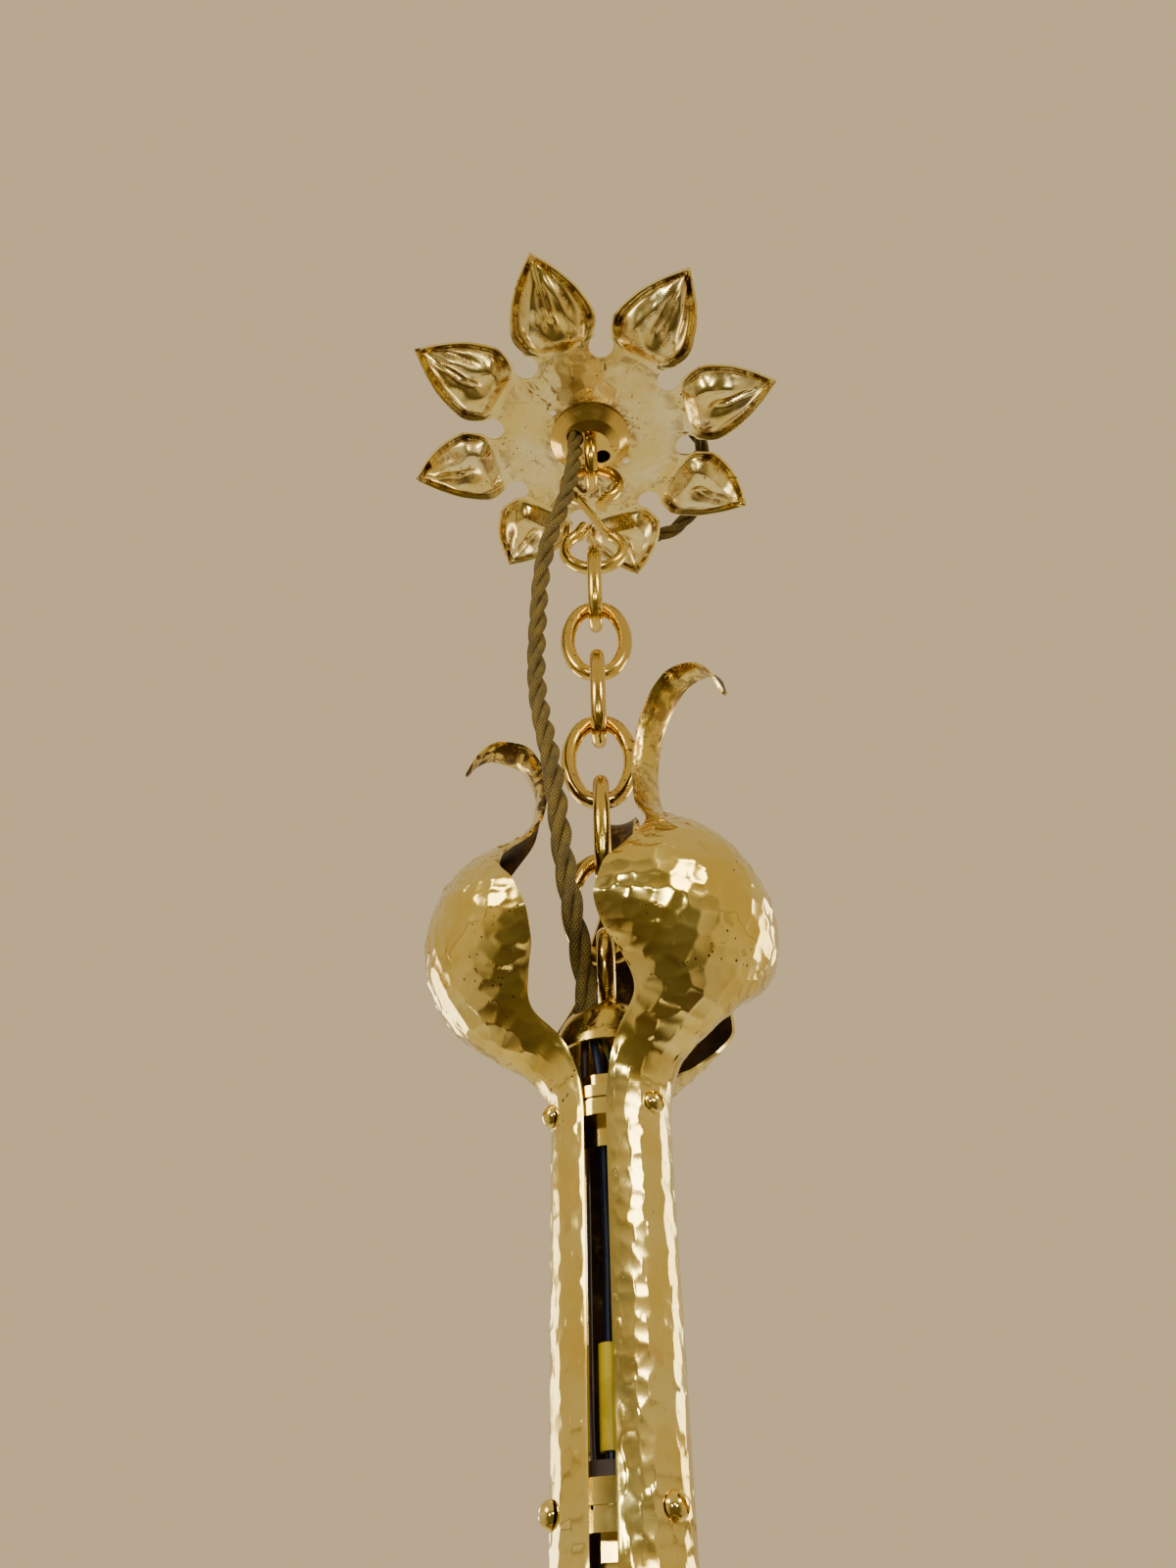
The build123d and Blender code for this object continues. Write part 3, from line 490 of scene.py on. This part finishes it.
def leaf_stations(name):
    """Radius, level, half width, radius of the cross curve, and its tilt below the horizontal."""
    low, waist = LOWER_SCREW_Z, EYE_BOTTOM
    stations = [
        (45.0, low - 55.0, 1.2, 50.0, -55), (38.0, low - 50.5, 8.0, 38.0, -50),
        (30.0, low - 42.5, 13.5, 30.0, -42), (23.2, low - 31.0, 16.2, 23.5, -28),
        (18.6, low - 19.0, 15.6, 18.8, -12), (TUBE_R, low - 8.0, STRAP_HALF, TUBE_R, 0),
        (TUBE_R, waist - 41.5, STRAP_HALF, TUBE_R, 0), (17.6, waist - 32.5, 14.2, 16.6, 12),
        (22.5, waist - 25.5, 16.0, 15.0, 42), (31.0, waist - 20.8, 18.6, 17.0, 52),
        (40.5, waist - 14.5, 28.5, 23.5, 38), (48.5, waist - 5.5, 38.8, 34.5, 18),
        (54.0, waist + 6.0, 44.5, 43.0, 4), (55.5, waist + 17.0, 43.0, 44.0, -6),
        (53.0, waist + 29.0, 35.5, 38.0, -22), (46.5, waist + 40.0, 26.5, 30.0, -40),
        (37.5, waist + 49.0, 16.5, 21.0, -52), (29.0, waist + 57.0, 9.2, 14.0, -45),
        (24.2, waist + 66.0, 7.4, 12.0, -20),
    ]
    curls = {
        "leaf_front_right": [
            (23.0, waist + 78.0, 6.6, 12.0, 2), (25.5, waist + 92.0, 6.4, 12.0, 18),
            (31.0, waist + 103.5, 6.4, 12.0, 40), (40.0, waist + 109.5, 6.0, 12.0, 75),
            (49.0, waist + 106.5, 4.6, 13.0, 112), (55.0, waist + 98.0, 2.6, 16.0, 140),
            (57.5, waist + 89.5, 0.8, 20.0, 158),
        ],
        "leaf_front_left": [
            (22.8, waist + 76.0, 6.8, 12.0, 4), (24.6, waist + 86.0, 6.8, 12.0, 28),
            (30.0, waist + 93.5, 6.6, 12.0, 58), (37.0, waist + 94.5, 5.4, 12.0, 92),
            (43.0, waist + 90.0, 3.2, 14.0, 125), (46.5, waist + 83.0, 0.8, 20.0, 150),
        ],
        "leaf_back": [
            (23.0, waist + 76.0, 6.6, 12.0, 4), (25.0, waist + 85.5, 6.6, 12.0, 28),
            (30.5, waist + 92.0, 6.4, 12.0, 58), (38.0, waist + 92.5, 5.4, 12.0, 92),
            (44.5, waist + 87.5, 3.2, 14.0, 125), (48.5, waist + 80.0, 0.8, 20.0, 150),
        ],
    }
    narrower = 0.8 if name == "leaf_back" else 1.0
    bulb = [(r, z, w * narrower if w > 19 else w, c, tilt) for r, z, w, c, tilt in stations]
    return np.array(bulb + curls[name])


def leaf(name, seed):
    stations = leaf_stations(name)
    runs = np.hypot(*np.diff(stations[:, :2], axis=0).T)
    places = np.concatenate([[0], np.cumsum(runs)])
    rows = int(places[-1] / LEAF_STEP)
    along = np.linspace(0, places[-1], rows)
    radius, z, half_width, curve, tilt = (through(places, c, along)[:, None] for c in stations.T)
    across = np.linspace(-1, 1, LEAF_COLUMNS)[None, :]
    angle = across * half_width / curve
    tilt = np.radians(tilt)

    def face(arc):
        lift = arc * np.cos(angle) - curve
        return np.stack([radius + lift * np.cos(tilt), arc * np.sin(angle), z - lift * np.sin(tilt)], -1)

    outer, inner = face(curve), face(curve - SHEET)
    out = outer - inner
    out /= np.linalg.norm(out, axis=-1, keepdims=True)
    distance, width = along[:, None] + 0 * across, across * half_width
    bulb = smoothstep(z, EYE_BOTTOM - 34, EYE_BOTTOM - 22)
    curl = smoothstep(z, EYE_BOTTOM + 50, EYE_BOTTOM + 66)
    coarse = hammer_marks(distance + 40 * seed, width + 7, COARSE_MARK, seed) * COARSE_DEPTH
    fine = hammer_marks(distance * 0.8 + 11, width + 5, FINE_MARK, seed + 9) * FINE_DEPTH
    marks = coarse * bulb * (1 - 0.6 * curl) + fine * (1 - bulb)
    edge = (1 - np.abs(across)) * half_width
    outer += out * ((marks - MARK_LEVEL) * smoothstep(edge, 0.3, 2.2))[..., None]
    faces = grid_faces(rows, LEAF_COLUMNS)
    front, back = outer.reshape(-1, 3), inner.reshape(-1, 3)
    piece = sheet_shell(name + "_hammered", turned(front, LEAF_TURNS[name]),
                        turned(back, LEAF_TURNS[name]), faces, ("hammered", "patina"))
    # Darker curls and bulb edges; on the back leaf's curl this is partly painted shade.
    leaf_patina_and_shade = CURL_PATINA_AND_SHADE[name] * curl + EDGE_PATINA * bulb * (1 - smoothstep(edge, 0.5, 5))
    leaf_patina_and_shade = np.broadcast_to(leaf_patina_and_shade, angle.shape)
    set_attribute(piece, "patina", np.tile(leaf_patina_and_shade.reshape(-1), 2))
    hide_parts(name)
    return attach(piece, "stem")


# ---- ceiling plate: a flower of eight heart-shaped petals, raised from behind -----------------
PETALS, PETAL_TURN = 8, -105.1
PETAL_TIP, DISC_R = 89.0, 44.0
PETAL_SIDE = [(42.0, 12.9), (50.0, 16.9), (57.0, 19.2), (68.0, 16.1), (79.0, 9.2), (89.0, 0.05)]
NOTCH_R, NOTCH_CENTRE_R = 5.5, 46.0
SCREW_HOLE, SCREW_HOLE_R, SCREW_HOLE_TURN = 1.6, 21.7, 38.8
DISH = [(0, -1.0), (38, -1.0), (60, 1.2), (90, 5.0)]
PETAL_ROWS, PETAL_COLUMNS = 81, 65
DISC_RINGS, DISC_SPOKES = 61, 481
DISC_START, RIGID_R = 2.5, 30.0            # the disc's inner edge, and where its rings stay round
SMEAR_X, SMEAR_Y = -2.0, 29.0              # a dark patch left beside the boss
PETAL_START = 42.3


def petal_relief(x, y, half):
    """How far the petal is raised towards the room, and where it is darkened by dirt and painted shade in
    its hollows, at places on it.
    """
    edge = half - np.abs(y)
    inside = smoothstep(x, DISC_R + 1, 53)
    tail = 1 - 0.8 * smoothstep(x, 64, PETAL_TIP)
    lobes = 6.0 * smoothstep(edge, 2.2, 9.5) * inside * tail
    crease = np.exp(-((np.abs(y) / half - 0.56) / 0.09) ** 2) * smoothstep(x, 55, 66)
    crease *= 0.6 + 0.4 * np.sign(y)
    fold = np.exp(-(y / (0.12 * half + 0.8)) ** 2) * smoothstep(x, 52, 62)
    valley = -3.0 * fold * smoothstep(edge, 0.4, 5) * tail
    rib = 2.8 * np.exp(-(y / 0.85) ** 2) * smoothstep(x, 58, 68) * smoothstep(edge, 0.2, 3) * tail
    groove = -1.5 * np.exp(-((edge - 3.0) / 1.1) ** 2) * inside
    rim = 0.7 * np.exp(-(edge / 1.2) ** 2) * inside
    waves = 0.3 * np.sin(x * 0.5 + y * 0.3) * smoothstep(edge, 3, 8) * inside
    # The edge groove, folds, root and creases are darkened: brown dirt and patina, partly painted shade in
    # these hollows.
    dirt_and_crevice_shade = 0.62 * np.exp(-((edge - 3.2) / 1.3) ** 2) * inside + 0.9 * fold * (1 - np.exp(-(y / 1.1) ** 2))
    dirt_and_crevice_shade += 0.45 * np.exp(-((x - 50 - 0.02 * y * y) / 3.2) ** 2) + 0.7 * crease
    return lobes + valley + rib + groove + rim + waves - 1.8 * crease * tail, np.clip(dirt_and_crevice_shade, 0, 1)


def notched(turns):
    """The disc's edge radius at these angles, with a round notch between every two petals."""
    pitch = 2 * pi / PETALS
    off = np.mod(turns - radians(PETAL_TURN), pitch) - pitch / 2
    depth = NOTCH_R ** 2 - (NOTCH_CENTRE_R * np.sin(off)) ** 2
    near = NOTCH_CENTRE_R * np.cos(off) - np.sqrt(np.maximum(depth, 0))
    return np.where(depth > 0, np.minimum(near, DISC_R), DISC_R)


def disc_part():
    spoke = np.linspace(0, 2 * pi, DISC_SPOKES)[None, :]
    share = np.linspace(0, 1, DISC_RINGS)[:, None]
    ring = DISC_START + (DISC_R - DISC_START) * share
    drawn_in = RIGID_R + (ring - RIGID_R) * (notched(spoke) - RIGID_R) / (DISC_R - RIGID_R)
    ring = np.where(ring > RIGID_R, drawn_in, ring)
    x, y = ring * np.cos(spoke), ring * np.sin(spoke)
    dents = 0.30 * hammer_marks(x, y, 6.5, 31) * smoothstep(ring, 19, 24)
    dents *= 1 - smoothstep(ring, 38, DISC_R)
    z = np.interp(ring, *np.array(DISH).T) - dents
    points = np.stack([x, y, z], -1).reshape(-1, 3)
    faces = grid_faces(DISC_RINGS, DISC_SPOKES)[:, ::-1]
    # A darker ring round the boss and a darker band by the petal roots: dirt, and partly painted shade where
    # parts meet.
    dirt_and_crevice_shade = 0.10 + 0.35 * smoothstep(ring, 17, 19) * (1 - smoothstep(ring, 19, 25))
    smear = np.exp(-((x - SMEAR_X) / 15) ** 2) * np.exp(-((y - SMEAR_Y) / 7) ** 2)
    dirt_and_crevice_shade = dirt_and_crevice_shade + 0.20 * smoothstep(ring, 36, 42) + 0.85 * smear
    for turn in (SCREW_HOLE_TURN, SCREW_HOLE_TURN + 180):
        centre = SCREW_HOLE_R * np.array([cos(radians(turn)), sin(radians(turn))])
        off = points[:, :2] - centre
        away = np.linalg.norm(off, axis=1, keepdims=True)
        points[:, :2] = np.where(away < SCREW_HOLE, centre + off * SCREW_HOLE / (away + 1e-9), points[:, :2])
        middle = points[faces].mean(axis=1)[:, :2] - centre
        faces = faces[np.linalg.norm(middle, axis=1) > SCREW_HOLE * 0.98]
    return points, faces, dirt_and_crevice_shade.reshape(-1)


def petal_part(turn):
    notch = NOTCH_CENTRE_R * np.array([cos(pi / PETALS), sin(pi / PETALS)])
    side = np.array(PETAL_SIDE)
    x_side = np.linspace(PETAL_START, PETAL_TIP, PETAL_ROWS)
    half = through(side[:, 0], side[:, 1], x_side)
    bite = NOTCH_R ** 2 - (x_side - notch[0]) ** 2
    half = np.where(bite > 0, np.minimum(half, notch[1] - np.sqrt(np.maximum(bite, 0))), half)[:, None]
    y = half * np.linspace(-1, 1, PETAL_COLUMNS)[None, :]
    root = np.sqrt(DISC_R ** 2 - y[0] ** 2)[None, :]
    x = x_side[:, None] + (root - PETAL_START) * (1 - smoothstep(x_side, PETAL_START, 54))[:, None]
    raised, dirt_and_crevice_shade = petal_relief(x, y, half)
    z = np.interp(np.hypot(x, y), *np.array(DISH).T) - raised
    points = turned(np.stack([x, y, z], -1).reshape(-1, 3), turn)
    return points, grid_faces(PETAL_ROWS, PETAL_COLUMNS)[:, ::-1], dirt_and_crevice_shade.reshape(-1)


def ceiling_plate():
    parts = [disc_part()] + [petal_part(PETAL_TURN + 360 / PETALS * i) for i in range(PETALS)]
    firsts = np.cumsum([0] + [len(points) for points, _, _ in parts])
    front = np.concatenate([points for points, _, _ in parts])
    faces = np.concatenate([faces + first for (_, faces, _), first in zip(parts, firsts)])
    back = front + np.array([0, 0, SHEET])
    piece = sheet_shell("ceiling_plate_repousse", front, back, faces, ("repousse", "patina"))
    set_attribute(piece, "patina", np.tile(np.concatenate([dirt_and_crevice_shade for _, _, dirt_and_crevice_shade in parts]), 2))
    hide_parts("ceiling_plate")
    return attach(piece, "ceiling_fitting")


# ---- flex: three braided strands laid up, and the cores inside the stem ----------------------
FLEX_ROUTE = [
    (-7.0, -5.0, -8.0), (-7.0, -5.0, -17.0), (-7.5, -7.4, -29.0),
    (-9.0, -8.2, -46.0), (-12.6, -8.4, -64.0), (-16.8, -7.8, -79.0), (-20.0, -6.8, -94.0),
    (-21.8, -5.6, -110.0), (-22.4, -5.2, -126.0), (-22.9, -5.0, -142.0), (-23.1, -5.4, -160.0),
    (-22.2, -6.8, -178.0),
    (-19.8, -10.6, -197.0), (-16.8, -14.4, -216.0), (-14.6, -16.8, -237.0), (-12.8, -17.8, -258.0),
    (-10.4, -17.6, -277.0), (-7.6, -13.4, -293.0), (-5.8, -9.0, -305.0), (-5.4, -7.4, -316.0),
]
TAIL_ROUTE = [
    (-7.0, -5.0, -8.0), (-7.0, -5.0, 9.0), (-8.6, 6.0, 27.0), (-8.6, 28.0, 33.0),
    (-3.0, 48.0, 27.0), (9.0, 64.0, 18.0), (27.0, 70.5, 13.5), (43.0, 64.0, 12.0),
    (53.5, 49.0, 11.6), (57.0, 30.0, 11.6), (54.0, 12.0, 12.0), (46.0, -1.0, 13.0),
]
STRANDS, STRAND_R, LAY_R, LAY = 3, 1.66, 1.97, 39.0
STRAND_STEP, STRAND_SIDES = 0.8, 16
CORE_R = 1.2


def route_curve(name, points):
    """A curve object on one smooth spline with these control points, given in millimetres."""
    data = bpy.data.curves.new(name, "CURVE")
    data.dimensions, data.resolution_u = "3D", 24
    spline = data.splines.new("NURBS")
    spline.points.add(len(points) - 1)
    for point, place in zip(spline.points, points):
        point.co = (*(Vector(place) * MM), 1)
    spline.order_u = 3
    spline.use_endpoint_u = True
    curve = bpy.data.objects.new(name, data)
    bpy.context.scene.collection.objects.link(curve)
    return curve


def even_line(curve, step):
    """Evenly spaced points along a curve, in millimetres, and its length."""
    mesh = bpy.data.meshes.new_from_object(curve)
    line = np.array([v.co for v in mesh.vertices]) / MM
    bpy.data.meshes.remove(mesh)
    runs = np.linalg.norm(np.diff(line, axis=0), axis=1)
    line, runs = line[np.concatenate([[True], runs > 1e-6])], runs[runs > 1e-6]
    places = np.concatenate([[0], np.cumsum(runs)])
    at = np.linspace(0, places[-1], int(places[-1] / step) + 1)
    return np.stack([np.interp(at, places, column) for column in line.T], -1), places[-1]


def even_line_of(points):
    """The evenly spaced points and the length of a route's smooth curve."""
    curve = route_curve("route", points)
    result = even_line(curve, STRAND_STEP)
    bpy.data.objects.remove(curve)
    return result


def frames_along(line):
    """At each point of a line, two directions square to it that don't twist about it."""
    ahead = np.gradient(line, axis=0)
    ahead /= np.linalg.norm(ahead, axis=1, keepdims=True)
    side = np.array([1.0, 0.0, 0.0])
    sides = []
    for direction in ahead:
        side = side - direction * (side @ direction)
        side /= np.linalg.norm(side)
        sides.append(side)
    sides = np.array(sides)
    return sides, np.cross(ahead, sides)


def tube_rings(line, radius):
    a, b = frames_along(line)
    angle = np.linspace(0, 2 * pi, STRAND_SIDES + 1)[None, :, None]
    return line[:, None] + radius * (a[:, None] * np.cos(angle) + b[:, None] * np.sin(angle))


def strand_piece(name, rings, first_place):
    """One stretch of a strand, with the lengthwise place in its map for the braid's pattern."""
    faces = grid_faces(len(rings), STRAND_SIDES + 1)
    piece = add_mesh(name, rings.reshape(-1, 3), faces, ("braid",))
    column = np.arange(STRAND_SIDES + 1) / STRAND_SIDES
    row = first_place + np.arange(len(rings)) * STRAND_STEP
    where = np.stack(np.broadcast_arrays(column[None, :], row[:, None]), -1).reshape(-1, 2)
    loops = np.empty(len(piece.data.loops), dtype=np.int32)
    piece.data.loops.foreach_get("vertex_index", loops)
    piece.data.uv_layers.new(name="strand").data.foreach_set("uv", where[loops].reshape(-1))
    return piece


def laid_strands(route):
    """The centre lines of the strands, laid round the route's smooth line."""
    line, length = even_line_of(route)
    a, b = frames_along(line)
    at = np.linspace(0, length, len(line))
    for strand in range(STRANDS):
        angle = (2 * pi * (at / LAY + strand / STRANDS))[:, None]
        yield line, line + LAY_R * (a * np.cos(angle) + b * np.sin(angle))


def declare_strand(path):
    length = np.linalg.norm(np.diff(path, axis=0), axis=1).sum()


def flex():
    """The hanging flex, in one stretch for each joint that it crosses."""
    pivots = [joint["pos_m"][2] / MM for joint in frame["joints"]]
    cuts = [FLEX_ROUTE[0][2]] + [(a + b) / 2 for a, b in zip(pivots, pivots[1:])] + [FLEX_ROUTE[-1][2]]
    for strand, (line, path) in enumerate(laid_strands(FLEX_ROUTE)):
        rings = tube_rings(path, STRAND_R)
        stops = [int(np.argmin(np.abs(line[:, 2] - cut))) for cut in cuts]
        for stretch, (a, b) in enumerate(zip(stops, stops[1:])):
            piece = strand_piece(f"flex_{stretch + 1}_strand_{strand + 1}", rings[a:b + 1], a * STRAND_STEP)
            high, low = (0, 0, cuts[stretch] * MM), (0, 0, cuts[stretch + 1] * MM)
            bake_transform(piece)
            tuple(high)
            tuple(low)
            declare_strand(path[a:b + 1])
            if stretch == 0 and strand == 0:
                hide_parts("flex")


def flex_tail():
    """The flex behind the plate, which lies in an open bow and ends in a cut."""
    for strand, (_, path) in enumerate(laid_strands(TAIL_ROUTE)):
        piece = strand_piece(f"flex_tail_strand_{strand + 1}", tube_rings(path, STRAND_R), 0)
        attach(piece, "ceiling_fitting")
        declare_strand(path)
        if strand == 0:
            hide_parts("flex_tail")


def on_circle(radius, degrees):
    return np.array([radius * cos(radians(degrees)), radius * sin(radians(degrees))])


def core(name, points, material, node):
    curve = route_curve(name, points)
    curve.data.bevel_depth, curve.data.bevel_resolution = CORE_R * MM, 4
    curve.data.use_fill_caps = True
    curve.data.materials.append(MATERIALS[material])
    _, length = even_line_of(points)
    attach(curve, "stem")
    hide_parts(node)
    tuple(Vector(points[0]) * MM)


def cores():
    """Blue, brown and earth: past the upper collar, down the tube and into the lampholder."""
    top, bottom = level("upper_collar", True), level("upper_collar", False)
    sleeve_top, sleeve_bottom = level("splice_sleeve", True), level("splice_sleeve", False)
    nipple_top, nipple_bottom = level("nipple", True), level("nipple", False)
    seat = level("lower_collar", True)
    end = np.array(FLEX_ROUTE[-1])
    passes = [on_circle(8.2, turn) for turn in (-105, -150, -60)]
    spreads = [on_circle(1.0, turn) for turn in (-90, 150, 30)]
    names = (("blue", "core_blue"), ("brown", "core_brown"), ("earth", "core_earth"))
    for (colour, node), (x, y), (dx, dy) in zip(names, passes, spreads):
        upper = [
            (end[0] + 1.5 * dx, end[1] + 1.5 * dy, end[2] - 0.8), (x, y, top + 9),
            (x, y, bottom - 14), (x * 1.08 + 0.6, y * 1.05, bottom - 32), (x, y, sleeve_top + 5),
        ]
        lower = [
            (x, y, sleeve_bottom - 2), (x * 0.8, y * 0.8, seat - 1.5),
            (1.75 * dx, 1.75 * dy, nipple_top + 0.5), (1.75 * dx, 1.75 * dy, nipple_bottom + 2),
        ]
        if colour == "blue":
            core("core_blue_upper", upper + [(x, y, sleeve_top - 6)], colour, node)
            core("core_blue_lower", [(x, y, sleeve_bottom + 6)] + lower, colour, node)
        else:
            core(node + "_whole", upper + lower, colour, node)


# ---- floor, world and lights -----------------------------------------------------------------
FLOOR_Z, FLOOR_HALF = -0.72, 3.0           # metres
BACKDROP = (0.685, 0.505, 0.275)


def floor():
    data = bpy.data.meshes.new("floor")
    corners = [(x * FLOOR_HALF, y * FLOOR_HALF, FLOOR_Z) for x, y in ((-1, -1), (1, -1), (1, 1), (-1, 1))]
    data.from_pydata(corners, [], [(0, 1, 2, 3)])
    s = Shader("floor", (0.55, 0.50, 0.42), 0.0, 0.7)
    data.materials.append(s.material)
    plane = bpy.data.objects.new("floor", data)
    bpy.context.scene.collection.objects.link(plane)
    plane.visible_glossy = False
    plane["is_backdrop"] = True


def world():
    """A plain pale surround to look at, and a room with light and dark parts for the brass."""
    surround = bpy.data.worlds.new("world")
    bpy.context.scene.world = surround
    surround.use_nodes = True
    tree = surround.node_tree
    tree.nodes.clear()

    def add(kind, **values):
        node = tree.nodes.new(kind)
        for key, value in values.items():
            setattr(node, key, value)
        return node

    def ramp(value, stops):
        node = add("ShaderNodeValToRGB")
        node.color_ramp.interpolation = "EASE"
        for element, (place, colour) in zip(node.color_ramp.elements, stops[:2]):
            element.position, element.color = place, (*colour, 1)
        for place, colour in stops[2:]:
            node.color_ramp.elements.new(place).color = (*colour, 1)
        tree.links.new(value, node.inputs["Fac"])
        return node.outputs["Color"]

    direction = add("ShaderNodeTexCoord").outputs["Generated"]
    axes = add("ShaderNodeSeparateXYZ")
    tree.links.new(direction, axes.inputs["Vector"])
    height = add("ShaderNodeMapRange")
    height.inputs["From Min"].default_value = -1
    tree.links.new(axes.outputs["Z"], height.inputs["Value"])
    room = ramp(height.outputs["Result"], [
        (0.0, (0.06, 0.038, 0.015)), (1.0, (0.60, 0.49, 0.30)), (0.08, (0.10, 0.065, 0.03)),
        (0.15, (0.50, 0.40, 0.25)), (0.50, (0.66, 0.55, 0.35)), (0.53, (0.34, 0.26, 0.15)),
        (0.57, (0.60, 0.49, 0.31)),
    ])

    def patch(below, towards, low, high, share, colour):
        """The room's light with another colour round one direction."""
        facing = add("ShaderNodeVectorMath", operation="DOT_PRODUCT")
        tree.links.new(direction, facing.inputs[0])
        facing.inputs[1].default_value = towards
        near = add("ShaderNodeMapRange", interpolation_type="SMOOTHSTEP")
        for key, number in (("From Min", low), ("From Max", high), ("To Max", share)):
            near.inputs[key].default_value = number
        tree.links.new(facing.outputs["Value"], near.inputs["Value"])
        mixed = add("ShaderNodeMix", data_type="RGBA")
        tree.links.new(near.outputs["Result"], mixed.inputs[0])
        tree.links.new(below, mixed.inputs[6])
        mixed.inputs[7].default_value = (*colour, 1)
        return mixed.outputs[2]

    room = patch(room, (0, 0.72, -0.69), 0.55, 0.90, 0.9, (0.86, 0.77, 0.60))
    room = patch(room, (0, -0.89, -0.45), 0.46, 0.86, 0.95, (0.115, 0.092, 0.036))
    look = add("ShaderNodeBackground")
    look.inputs["Color"].default_value = (*BACKDROP, 1)
    light = add("ShaderNodeBackground")
    tree.links.new(room, light.inputs["Color"])
    choice = add("ShaderNodeMixShader")
    tree.links.new(add("ShaderNodeLightPath").outputs["Is Camera Ray"], choice.inputs["Fac"])
    tree.links.new(light.outputs["Background"], choice.inputs[1])
    tree.links.new(look.outputs["Background"], choice.inputs[2])
    tree.links.new(choice.outputs["Shader"], add("ShaderNodeOutputWorld").inputs["Surface"])


def lights():
    middle = (0, 0, -0.25)
    area_light("window_left", (-0.50, -1.35, -0.50), middle, 0.20, 3.4, (1, 0.95, 0.80))
    area_light("window_right", (0.42, -1.45, -0.52), middle, 0.26, 5.5, (1, 0.97, 0.86))
    area_light("window_far", (0.05, -1.7, -0.25), middle, 0.14, 2.8, (1, 0.93, 0.74))
    area_light("key_left", (-1.1, -0.9, 0.30), middle, 0.60, 9, (1, 0.92, 0.76))
    area_light("key_right", (1.0, -1.1, 0.35), middle, 0.50, 8, (1, 0.93, 0.78))
    area_light("back_left", (-1.2, 1.2, -0.1), middle, 0.9, 9, (1, 0.92, 0.78))
    area_light("back_right", (1.4, 0.9, 0.2), middle, 0.8, 8, (1, 0.92, 0.78))


make_camera()
dress_nodes()
for seed, leaf_name in enumerate(LEAF_TURNS):
    leaf(leaf_name, seed + 1)
ceiling_plate()
flex()
flex_tail()
cores()
floor()
world()
lights()

[[list(corner) for corner in box] for box in (CAD_BOX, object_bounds())]
